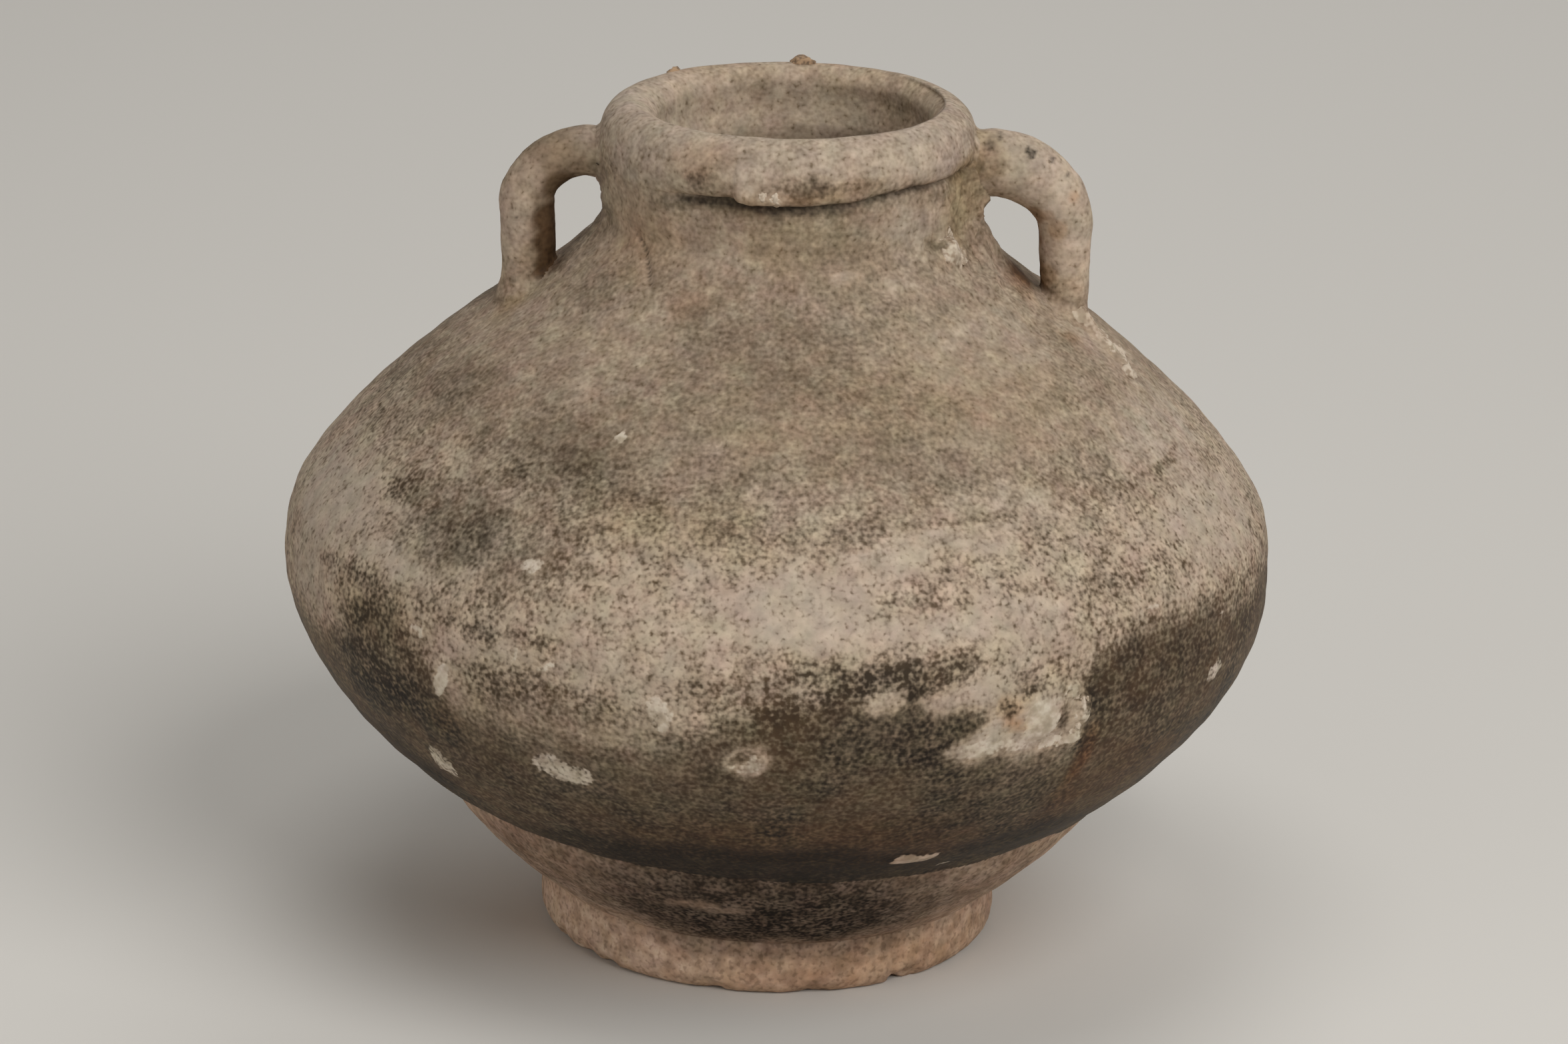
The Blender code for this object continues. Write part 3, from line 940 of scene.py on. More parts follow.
@dataclass
class Weathering:
    """Where the bloom, the soot and painted shade, and the crust lie, painted on the skins as soft
    marks.
    """

    hand: ClayHand
    back_marks: int = 60
    back_crusts: int = 15
    back_seed: int = 11
    back: tuple[float, float] = (98.0, 262.0)
    upper_from: float = 52.0
    left_wear: float = 0.16
    haze_inside: float = 0.72
    mottle: float = 0.08
    wander: tuple[float, float] = (1.9 * MM, 1.2 * MM)
    # where the dark glaze gives way to bloom: heights in millimetres, by azimuth
    dark_line: Stations = (
        (-150, 42), (-120, 44), (-90, 43), (-75, 42.2), (-64, 41.4), (-59, 43), (-55, 47.5),
        (-48, 48.6), (-43, 45), (-38, 39.6), (-15, 39.2), (-9, 41.5), (-3, 46), (2, 49.2),
        (21, 49.6), (25, 43.5), (28, 38), (35.5, 37.6), (38, 48), (44, 49.8), (62, 49.6),
        (76, 48.2), (100, 44.5), (140, 45.5), (172, 40.5))
    # bloom by millimetres above the dark line, then by height, outside and inside the jar
    bloom_by_drop: Stations = (
        (-20, 0.04), (-13, 0.08), (-7, 0.15), (-2.2, 0.27), (-0.7, 0.42), (0.8, 0.62), (3, 0.7),
        (8, 0.76))
    bloom_by_height: Stations = (
        (52, 0.8), (57, 0.76), (61, 0.58), (65, 0.5), (74, 0.5), (79, 0.56), (86, 0.57),
        (88.4, 0.44), (89.6, 0.7), (92, 0.88), (96, 0.9))
    bloom_inside: Stations = ((70, 0.84), (80, 0.92), (88, 0.88), (93, 0.82))
    haze_by_height: Stations = (
        (20, 0.7), (34, 0.72), (40, 0.5), (44, 0.22), (57, 0.2), (62, 0.45), (67, 0.85), (88, 0.9),
        (91, 0.55), (96, 0.6))
    bloom: tuple[Mark, ...] = marks(
        # belly, at the dark line and just below it
        (-46, 33, 13, 4.4, 0.04), (-69, 46.5, 6, 4, 0.84), (-57, 49.3, 6.5, 1.3, 0.45),
        (-59, 45.5, 3.6, 2.6, 0.66), (-50.5, 44, 6, 3.2, 0.28), (-37, 50, 7, 2.2, 0.62),
        (-34, 48.4, 2.2, 0.9, 0.4), (-27.5, 49, 2.4, 1.2, 0.45), (-27, 43, 10, 2.6, 0.42),
        (-16.5, 48, 5.5, 3.2, 0.76), (-5, 46, 4, 2.2, 0.52), (3, 46.5, 3.6, 1.4, 0.48),
        (14, 48.4, 8, 0.9, 0.3), (11.5, 44.8, 2.4, 1.5, 0.76), (22.5, 45, 5.2, 1.9, 0.84),
        (30, 41, 5.4, 2.8, 0.95), (32.4, 46.4, 4.2, 1.8, 0.58), (69, 47, 7.5, 1.8, 0.42),
        (48, 44, 10, 3.2, 0.06),
        # belly, middle: the palest band with its darker islands
        (-72, 54, 8.5, 4.2, 0.95), (-51, 52.3, 6, 1.6, 0.86), (-43.5, 56.8, 9.5, 3.4, 0.42),
        (-41, 56.8, 5.4, 2.4, 0.36), (-57, 58, 3.4, 1.8, 0.42), (-29, 56.5, 8, 3.4, 0.47),
        (-33.5, 52, 5, 1.4, 0.6), (-16, 55, 7, 4, 0.72), (4, 53.3, 8, 3.4, 0.93),
        (13, 59, 5, 2.4, 0.86), (26, 52.2, 9.5, 1.7, 0.88), (17, 55.2, 3.6, 1.3, 0.52),
        (28, 56, 8, 1.7, 0.66), (24, 60, 7, 1.4, 0.84), (40, 53, 5, 3, 0.6),
        (52, 54.2, 8.5, 1.5, 0.54), (53, 51.3, 7.5, 1.1, 0.72), (69, 55.5, 11, 4.2, 0.86),
        # shoulder, low: streaks that follow the throwing
        (-68, 61.5, 9, 2.2, 0.6), (-50, 62, 7, 1.2, 0.68, -6), (-30, 62.5, 12, 1.6, 0.4),
        (5, 62, 8, 2.2, 0.56), (10, 60.6, 2.6, 1.3, 0.42), (33, 61.4, 8, 2, 0.76),
        (47, 62, 4.6, 2.6, 0.52), (72, 63.5, 12, 3.4, 0.86), (67, 61.3, 6.5, 0.28, 0.3, 1.5),
        (62.5, 61, 2, 0.3, 0.3, 1.5), (80, 58.6, 3.4, 1.3, 0.55), (27, 61.1, 10, 0.16, 0.5),
        # shoulder, high: grey and soft
        (-67, 67.5, 6, 2.2, 0.4), (-33, 65.4, 6.5, 2.2, 0.38), (-31.5, 64.2, 3, 1.2, 0.28),
        (42, 67.5, 10, 2.8, 0.66), (46, 73.6, 12, 3.2, 0.8), (-37, 73.6, 5.5, 4.4, 0.66),
        (-4, 76, 9, 3.2, 0.4), (-78, 72, 6, 5, 0.68), (-61, 73.2, 9, 2.4, 0.68),
        (-52.6, 77.2, 4.2, 1.7, 0.36), (-4, 69, 8, 2.2, 0.56), (84, 70, 7, 5, 0.76),
        (-34, 84, 10, 3.6, 0.7), (49, 85.4, 5.4, 2.4, 0.86),
        # neck and under the rim
        (-62, 84, 5.4, 5, 0.8), (-46, 80, 4, 3.4, 0.6), (-8, 87.9, 12, 0.8, 0.24),
        (70, 88.2, 3.2, 1, 0.34), (17, 80.8, 1.8, 0.8, 0.8), (32, 80, 1, 0.8, 0.78),
        (59, 81.8, 2, 1.3, 0.9), (52.5, 83, 1.1, 0.9, 0.26), (-81, 83, 2.4, 1.2, 0.44),
        # rim
        (50, 92.4, 7.5, 2.8, 0.94), (15, 93.4, 6, 1.6, 0.86), (-20, 93.2, 6, 1.8, 0.82),
        (-50, 92, 6, 3.4, 0.86), (-27.5, 90.8, 2.2, 1.1, 0.36), (6, 91.3, 3.6, 1.3, 0.36),
        (22, 90.6, 3.4, 0.8, 0.5), (-14.8, 91, 0.7, 1.9, 0.97), (-5.5, 89.8, 2, 0.7, 0.97),
        # scars and lime crusts
        (-2.9, 38.3, 1.9, 1.7, 0.8), (-3.6, 38.7, 0.9, 0.6, 0.1), (24.3, 39, 4.2, 1.6, 1, 9),
        (21, 41.7, 3.4, 0.5, 0, 2), (34.3, 40.8, 1, 1.2, 0.3), (27.2, 43.4, 0.9, 1, 0.3, 30),
        (29.2, 44.6, 1.4, 0.5, 0.42, 35),
    )
    haze: tuple[Mark, ...] = marks(
        # soft patches on the belly, and the worn left of the neck
        (-40, 57, 13, 4.6, 0.5), (-50, 43, 8, 6, 0.3), (14, 42, 9, 3.4, 0.6),
        (50, 42, 12, 7, 0.5), (-72, 78, 20, 9, 1),
    )
    soot_and_shade: tuple[Mark, ...] = marks(
        # bare clay: smoked dark at the front; the lowest glaze darkest of all, partly its own colour and
        # partly painted shade where the belly turns under
        (-40, 14, 15, 6.6, 0.52), (40, 14.4, 12, 6, 0.38), (0, 13.8, 20, 8.4, 0.92),
        (2, 11.4, 14, 4.4, 1), (-12, 13.6, 4.6, 0.7, 0.5, 3), (6, 5.6, 15, 1.3, 0.5),
        (-60, 27, 10, 4, 0.6), (-2, 22.2, 24, 3.8, 0.95), (40, 23, 12, 3, 0.6),
        # the fold on the neck, and painted shadow under the rim's edge
        (-46, 80.9, 3.4, 0.14, 0.7, -40), (-8, 88.3, 11, 0.5, 0.7), (30, 88.7, 9, 0.45, 0.5),
        (-27.5, 88.3, 3.4, 0.5, 0.75),
    )
    crust: tuple[Mark, ...] = marks(
        # scars and lime crusts
        (-39.5, 42, 0.9, 2.4, 0.74, -28), (-43.5, 46.8, 1.5, 0.6, 0.66, -24),
        (-12, 43.2, 1.5, 2.2, 0.62), (-26.7, 67, 0.75, 0.5, 0.95), (-31, 55.4, 1.5, 0.8, 0.62),
        (-29.5, 47, 0.5, 0.7, 0.66), (-25.5, 46.4, 1.6, 0.4, 0.6, 14),
        (-24.8, 34.4, 3.9, 1.8, 0.6, -6), (-23, 36.3, 2.2, 1.1, 0, -6),
        (-2.9, 38.2, 1.8, 1.6, 0.46), (-3.6, 38.7, 0.9, 0.6, 0),
        (-45.2, 30.4, 1.9, 2.3, 0.55, 20), (21, 23, 2.8, 0.9, 1, 3),
        (27, 20.1, 1.6, 0.25, 0.5, 5), (60.4, 40.3, 1.9, 1.3, 0.58, 10),
        (61.2, 46.6, 0.9, 0.6, 0.5), (47.5, 50.8, 1.4, 0.5, 0.55),
        (24, 38.9, 3.6, 1.2, 0.56, 9), (28.8, 39.4, 2.6, 1.2, 0.5, 14),
        (30.9, 41.5, 2.2, 2.2, 1, 0), (32.4, 38.6, 1.5, 0.8, 0.9, 14),
        (35.1, 44.1, 0.8, 0.9, 0.8), (36.7, 41.7, 0.6, 1.7, 0.62, 8),
        (35.2, 38.6, 1.4, 0.7, 0.7, 20), (33.2, 43.4, 1.2, 0.4, 0.55, 10),
        (34.3, 40.8, 0.9, 1.1, 0), (86, 71.7, 1.1, 0.9, 0.75), (60, 81.4, 2.2, 1.7, 0.5),
        (-5.5, 89.6, 1.8, 0.6, 0.45), (83.5, 69.8, 2.9, 0.6, 0.5, 53),
    )
    # lime, iron and silt stains, with painted shade by the handles' lower roots and painted light on the
    # foot: each row's colour, then its mark
    stains_and_painted_light: tuple[tuple[str | float, ...], ...] = (
        ("#DCC29C", 27.4, 43.6, 1.6, 1.4, 0.4), ("#F0C8A0", 27.9, 41.6, 0.9, 0.8, 0.6),
        # painted shade: the #7A6450 mark, on the shoulder between the neck's foot and the right handle's
        # lower root, and the #7A6858 mark, in the crevice under the left handle's inner root
        ("#D8B498", 74, 71.6, 2, 1, 0.35), ("#7A6450", 87, 76.8, 2.6, 1.7, 1),
        ("#7A6858", -84.6, 76.6, 1.8, 1.1, 0.8), ("#D6CCA6", -82, 72.8, 3, 1.2, 0.4),
        ("#DCBCA4", 80, 76, 2.2, 1.4, 0.35), ("#F0BC96", 37.6, 36, 1.4, 4.4, 0.6, -14),
        ("#F0BC96", 39, 29, 3, 3, 0.35), ("#E6C8A4", 8, 3, 26, 3, 0.3),
        # painted light: the #FFFFFF mark at -52 lightens the foot's left side
        ("#FFFFFF", -52, 3.6, 20, 8, 1), ("#DAD6B4", 72, 86, 3.5, 5, 0.4),
        ("#D2B89A", 86, 71, 3, 2, 0.2), ("#C4CBD0", 15.6, 84, 4, 2.4, 0.3),
        ("#F4E4D6", -52, 83, 6, 4, 0.5), ("#C9A888", -39, 37.5, 3.4, 1.6, 0.3),
        ("#CCAA88", 48, 32, 9, 4, 0.3), ("#C6BAC6", 24, 26, 12, 4, 0.3),
        ("#D6B090", 4, 26, 18, 4, 0.45), ("#D6CDAC", -52, 46, 8, 3, 0.25),
        ("#D2C8A4", 6, 70, 14, 4, 0.2), ("#D2C8A4", 40, 70, 10, 4, 0.2),
        ("#C4CACB", -12, 72, 10, 3.5, 0.2), ("#C4CBCE", 24, 66, 8, 3, 0.2),
        ("#C6CCCB", -34, 63.5, 7, 3, 0.4), ("#BCC4C9", -44, 56, 8, 4, 0.4),
        ("#CCCBA4", -16, 60.5, 10, 2.2, 0.25), ("#DCC4B4", -26, 78.5, 3, 2, 0.3),
        ("#DCC4B4", 20, 82.5, 4, 2, 0.2), ("#CFCBA6", 4, 84.5, 6, 3, 0.2),
        ("#DCC0AE", -28, 92.6, 4, 1.6, 0.35), ("#D8BC9C", -1, 89.8, 4.5, 0.7, 0.35),
        ("#D2B898", 18, 90.6, 5, 1.2, 0.3), ("#DEDAC0", 68, 86, 4, 4, 0.3),
        ("#DEC8B0", 160, 94, 6, 3, 0.35), ("#DEC8B0", -140, 94, 6, 3, 0.3),
        ("#DCCABF", -45, 16.5, 9, 3, 0.3),
    )

    def ground(self, points: np.ndarray, outside: np.ndarray) -> dict[Channel, np.ndarray]:
        """The channels before any mark is laid, from each point's height alone.

        Args:
            points: vertices of the plain form.
            outside: which of them are on the outside.

        Returns:
            Each channel's values, one for each vertex.
        """
        azimuth, height = azimuths(points), points[:, 2] / MM
        bloom = read_off(self.bloom_by_drop, height - around(azimuth, self.dark_line))
        upper = read_off(self.bloom_by_height, height) / self.bloom_by_height[0][1]
        bloom *= np.where(height > self.upper_from, upper, 1.0)
        left = 1.0 - smooth_step(25.0, 75.0, np.abs(turn_between(azimuth, -95.0)))
        inner = read_off(self.bloom_inside, height) + self.left_wear * left
        above = points[:, 2] - self.hand.glaze_line_at(points)
        behind = smooth_step(70.0, 110.0, np.abs(azimuth))
        mottle = self.mottle * (1.0 + behind) * grain(points, 9 * MM, 21, 4)
        haze = read_off(self.haze_by_height, height)
        return {
            Channel.BLOOM: np.where(outside, bloom, inner) + mottle,
            Channel.HAZE: np.where(outside, haze, self.haze_inside),
            Channel.BARE: np.where(outside, 1.0 - smooth_step(-0.45 * MM, 0.35 * MM, above), 0.0),
            Channel.SOOT_AND_SHADE: np.zeros(len(points)),
            Channel.CRUST: np.zeros(len(points)),
        }

    def laid(self) -> list[tuple[Channel, Mark]]:
        """Every channel's marks: the front's listed one by one, the back's at random in the same ranges.

        Returns:
            Each mark with its channel, in the order in which they are laid.
        """
        draw = np.random.default_rng(self.back_seed)
        made = [(Channel.BLOOM, mark) for mark in self.bloom]
        made += [(Channel.HAZE, mark) for mark in self.haze]
        made += [(Channel.SOOT_AND_SHADE, mark) for mark in self.soot_and_shade]
        made += [(Channel.CRUST, mark) for mark in self.crust]
        for _ in range(self.back_marks):
            height = draw.uniform(42.0, 93.0)
            wide = draw.uniform(2.5, 9.0) * (1.0 if height < 75.0 else 0.5)
            made.append((Channel.BLOOM, Mark(
                draw.uniform(*self.back), height, wide, draw.uniform(1.2, 4.0),
                draw.uniform(0.15, 0.95), draw.uniform(-12.0, 12.0), draw.uniform(0.4, 0.8))))
        for _ in range(self.back_crusts):
            made.append((Channel.CRUST, Mark(
                draw.uniform(*self.back), draw.uniform(24.0, 86.0), draw.uniform(0.4, 1.8),
                draw.uniform(0.4, 1.2), draw.uniform(0.5, 0.9), draw.uniform(-40.0, 40.0))))
        return made

    def paint(self, mesh: bpy.types.Mesh, points: np.ndarray, outside: np.ndarray,
              painted: dict[Channel, np.ndarray], tint: str, share: np.ndarray,
              spots: tuple[Spot, ...] = ()) -> None:
        """Lay the marks over the ground and store every channel on the mesh.

        Args:
            mesh: the mesh that carries the channels.
            points: where each of its vertices lies on the plain form.
            outside: which of them are on the outside, where the marks lie.
            painted: the channels before any mark is laid.
            tint: a colour for the mesh.
            share: how far each vertex takes that tint.
            spots: marks for a handle alone.
        """
        warp = np.stack([grain(points, 6 * MM, 22, 4), grain(points, 6 * MM, 23, 4)], axis=1)
        warp *= self.wander
        for channel, mark in self.laid():
            sharp = channel is Channel.CRUST or mark.half_height < 0.6
            weight = mark.cover * (mark.weight(points, 0.3 * warp, 0.5) if sharp
                                   else mark.weight(points, warp, 0.9))
            painted[channel] += (mark.value - painted[channel]) * np.where(outside, weight, 0.0)
        colour = tinted(np.ones((len(points), 4)), tint, share)
        for stain_and_painted_light, *row in self.stains_and_painted_light:
            mark = Mark(*row)
            weight = np.where(outside, mark.value, 0.0) * mark.weight(points, warp, 1.2)
            colour = tinted(colour, stain_and_painted_light, weight)
        for spot in spots:
            if spot.colour:
                colour = tinted(colour, spot.colour, spot.weight(points))
            else:
                painted[Channel.SOOT_AND_SHADE] += (1.0 - painted[Channel.SOOT_AND_SHADE]) * spot.weight(points)
        colour[:, 3] = 1.0
        for channel, values in painted.items():
            store(mesh, channel.value, np.clip(values, 0.0, 1.0))
        store(mesh, STAIN_AND_PAINTED_LIGHT, colour, "FLOAT_COLOR")


def add_node(tree: bpy.types.NodeTree, kind: str, settings: dict[str, object],
             inputs: dict[str | int, object]) -> bpy.types.Node:
    """Add one shader node.

    Args:
        tree: the material's node tree.
        kind: the node's type.
        settings: values for its properties, by name.
        inputs: by name or index, a socket to join, an sRGB hex colour or a plain value.

    Returns:
        The new node.
    """
    node = tree.nodes.new(kind)
    for name, value in settings.items():
        setattr(node, name, value)
    for key, value in inputs.items():
        if isinstance(value, bpy.types.NodeSocket):
            tree.links.new(value, node.inputs[key])
        else:
            node.inputs[key].default_value = linear(value) if isinstance(value, str) else value
    return node


SMOOTH = {"interpolation_type": "SMOOTHSTEP"}
TIMES = {"operation": "MULTIPLY"}
Socket = bpy.types.NodeSocket


@dataclass(frozen=True)
class Layer:
    """A colour laid over those below it.

    Its share is a pattern's own value or, where low and high are given, that value turned
    smoothly into one from start, below low, to end, above high.
    """

    colour: Socket | str
    pattern: Socket | float
    low: float | None = None
    high: float = 1.0
    start: float = 0.0
    end: float = 1.0
    blend: str = "MIX"


def layered(tree: bpy.types.NodeTree, base: Socket | str, *layers: Layer) -> Socket:
    """Lay colours over a base.

    Args:
        tree: the material's node tree.
        base: the lowest colour.
        layers: those over it, from the lowest up.

    Returns:
        The colour that shows.
    """
    for layer in layers:
        share = layer.pattern
        if layer.low is not None:
            share = add_node(tree, "ShaderNodeMapRange", SMOOTH, {
                0: share, 1: layer.low, 2: layer.high, 3: layer.start, 4: layer.end}).outputs[0]
        base = add_node(tree, "ShaderNodeMix", {"data_type": "RGBA", "blend_type": layer.blend}, {
            0: share, 6: base, 7: layer.colour}).outputs[2]
    return base


def summed(tree: bpy.types.NodeTree, base: Socket | float, *parts: tuple[Socket, float]) -> Socket:
    """Add weighted values to a base.

    Args:
        tree: the material's node tree.
        base: the value to start from.
        parts: what is added, each with its weight.

    Returns:
        The sum.
    """
    for value, weight in parts:
        base = add_node(tree, "ShaderNodeMath", {"operation": "MULTIPLY_ADD"},
                        {0: value, 1: weight, 2: base}).outputs[0]
    return base


@dataclass(frozen=True)
class Ground:
    """The patterns that every layer of a finish reads, and the tree that they are in."""

    tree: bpy.types.NodeTree
    fine: Socket
    mid: Socket
    wide: Socket
    streak: Socket
    tone: Socket
    hue: Socket


@dataclass(frozen=True)
class Finish:
    """A material with one shader, whose inputs each kind of finish works out for itself."""

    name: str

    def surface(self, tree: bpy.types.NodeTree) -> dict[str, Socket | str | float]:
        """The shader's inputs, by name: here a plain, matt white.

        Args:
            tree: the material's node tree.

        Returns:
            A socket, colour or value for each input.
        """
        return {"Base Color": "#FFFFFF", "Roughness": 1.0}

    def material(self) -> bpy.types.Material:
        """Make the material.

        Returns:
            The new material.
        """
        material = bpy.data.materials.new(self.name)
        material.use_nodes = True
        tree = material.node_tree
        tree.nodes.clear()
        shader = add_node(tree, "ShaderNodeBsdfPrincipled", {}, self.surface(tree))
        add_node(tree, "ShaderNodeOutputMaterial", {}, {"Surface": shader.outputs[0]})
        return material


@dataclass(frozen=True)
class FiredGrain:
    """The grain of a fired and weathered surface, as noises on the object's own coordinates.

    A pitch is how far apart a noise's grid lines lie; its soft rises lie about twice as far apart.
    """

    # The real pits are 0.3 to 0.5 mm across and about 0.8 mm apart
    pit_pitch: float = 0.5 * MM
    cluster_pitch: float = 1.9 * MM
    drift_pitch: float = 9.0 * MM
    streak_pitch: float = 5.0 * MM
    streak_flatness: float = 9.0
    tone_pitch: float = 1.3 * MM
    hue_pitch: float = 3.4 * MM
    roughness: float = 0.55

    def ground(self, tree: bpy.types.NodeTree) -> Ground:
        """Add the noises.

        Args:
            tree: the material's node tree.

        Returns:
            The noises' sockets.
        """
        place = add_node(tree, "ShaderNodeTexCoord", {}, {}).outputs["Object"]
        flat = add_node(tree, "ShaderNodeMapping", {}, {
            "Vector": place, "Scale": (1.0, 1.0, self.streak_flatness)}).outputs[0]
        noises = (("fine", place, self.pit_pitch, 0.7, 0.0),
                  ("mid", place, self.cluster_pitch, 3.0, 2.0),
                  ("wide", place, self.drift_pitch, 4.0, 4.0),
                  ("streak", flat, self.streak_pitch, 2.5, 6.0),
                  ("tone", place, self.tone_pitch, 2.5, 7.0),
                  ("hue", place, self.hue_pitch, 4.0, 8.0))
        sockets = {}
        for name, vector, pitch, detail, shift in noises:
            node = add_node(tree, "ShaderNodeTexNoise", {"noise_dimensions": "4D"}, {
                "Vector": vector, "W": shift, "Scale": 1 / pitch, "Detail": detail,
                "Roughness": self.roughness})
            sockets[name] = node.outputs["Color" if name == "hue" else "Fac"]
        return Ground(tree, **sockets)


@dataclass(frozen=True)
class IronGlaze:
    """Iron-brown stoneware glaze, dulled in the ground to a dry, faintly satin brown-black."""

    brown: str = "#4A3828"
    black: str = "#201A14"
    olive: str = "#3F3724"
    dust: str = "#6C5A44"
    film: str = "#907F69"
    roughness: float = 0.58

    def colour(self, ground: Ground, dusty: Socket) -> Socket:
        """Its broken colour, greyed by the silt that stays in its pits.

        Args:
            ground: the patterns.
            dusty: how much silt there is.

        Returns:
            The colour.
        """
        return layered(ground.tree, self.black,
                       Layer(self.brown, ground.wide, 0.36, 0.62),
                       Layer(self.olive, ground.mid, 0.45, 0.72, 0.0, 0.5),
                       Layer(self.dust, ground.fine, 0.46, 0.78, 0.0, 0.3),
                       Layer(self.dust, dusty))


@dataclass(frozen=True)
class LimeBloom:
    """A thin, chalky film of lime and silt, pale buff, broken where the pitted glaze shows."""

    buff: str = "#B19E88"
    cream: str = "#B9A791"
    rose: str = "#B19B87"
    chalk: str = "#B1A292"
    speck: str = "#58472F"
    roughness: float = 0.92

    def colour(self, ground: Ground, bloom: Socket) -> Socket:
        """Its colour, which drifts between buff, cream and rose, and is chalky where it is thick.

        Args:
            ground: the patterns.
            bloom: how much of it there is.

        Returns:
            The colour.
        """
        return layered(ground.tree, self.buff,
                       Layer(self.rose, ground.wide, 0.4, 0.62),
                       Layer(self.cream, ground.mid, 0.42, 0.66),
                       Layer(self.chalk, bloom, 0.6, 1.0, 0.0, 0.7),
                       Layer(self.speck, ground.fine, 0.24, 0.34, 0.45, 0.0))


@dataclass(frozen=True)
class BareStoneware:
    """Unglazed stoneware body, fired warm buff, with fine sand and turning marks."""

    buff: str = "#C3A892"
    brown: str = "#B0937B"
    grit: str = "#755F4D"

    def colour(self, ground: Ground) -> Socket:
        """Its grainy colour.

        Args:
            ground: the patterns.

        Returns:
            The colour.
        """
        return layered(ground.tree, self.brown,
                       Layer(self.buff, ground.mid, 0.35, 0.65),
                       Layer(self.brown, ground.streak, 0.35, 0.6, 0.35, 0.0),
                       Layer(self.grit, ground.tone, 0.36, 0.6, 0.2, 0.0),
                       Layer(self.grit, ground.fine, 0.3, 0.5, 0.5, 0.0))


@dataclass(frozen=True)
class LimeCrust:
    """Hard white lime that grew on the jar in the ground, dirty in its hollows."""

    white: str = "#C4B6A4"
    dirty: str = "#B5A590"

    def colour(self, ground: Ground) -> Socket:
        """Its chalky colour, from the patterns."""
        return layered(ground.tree, self.dirty, Layer(self.white, ground.tone, 0.36, 0.6))


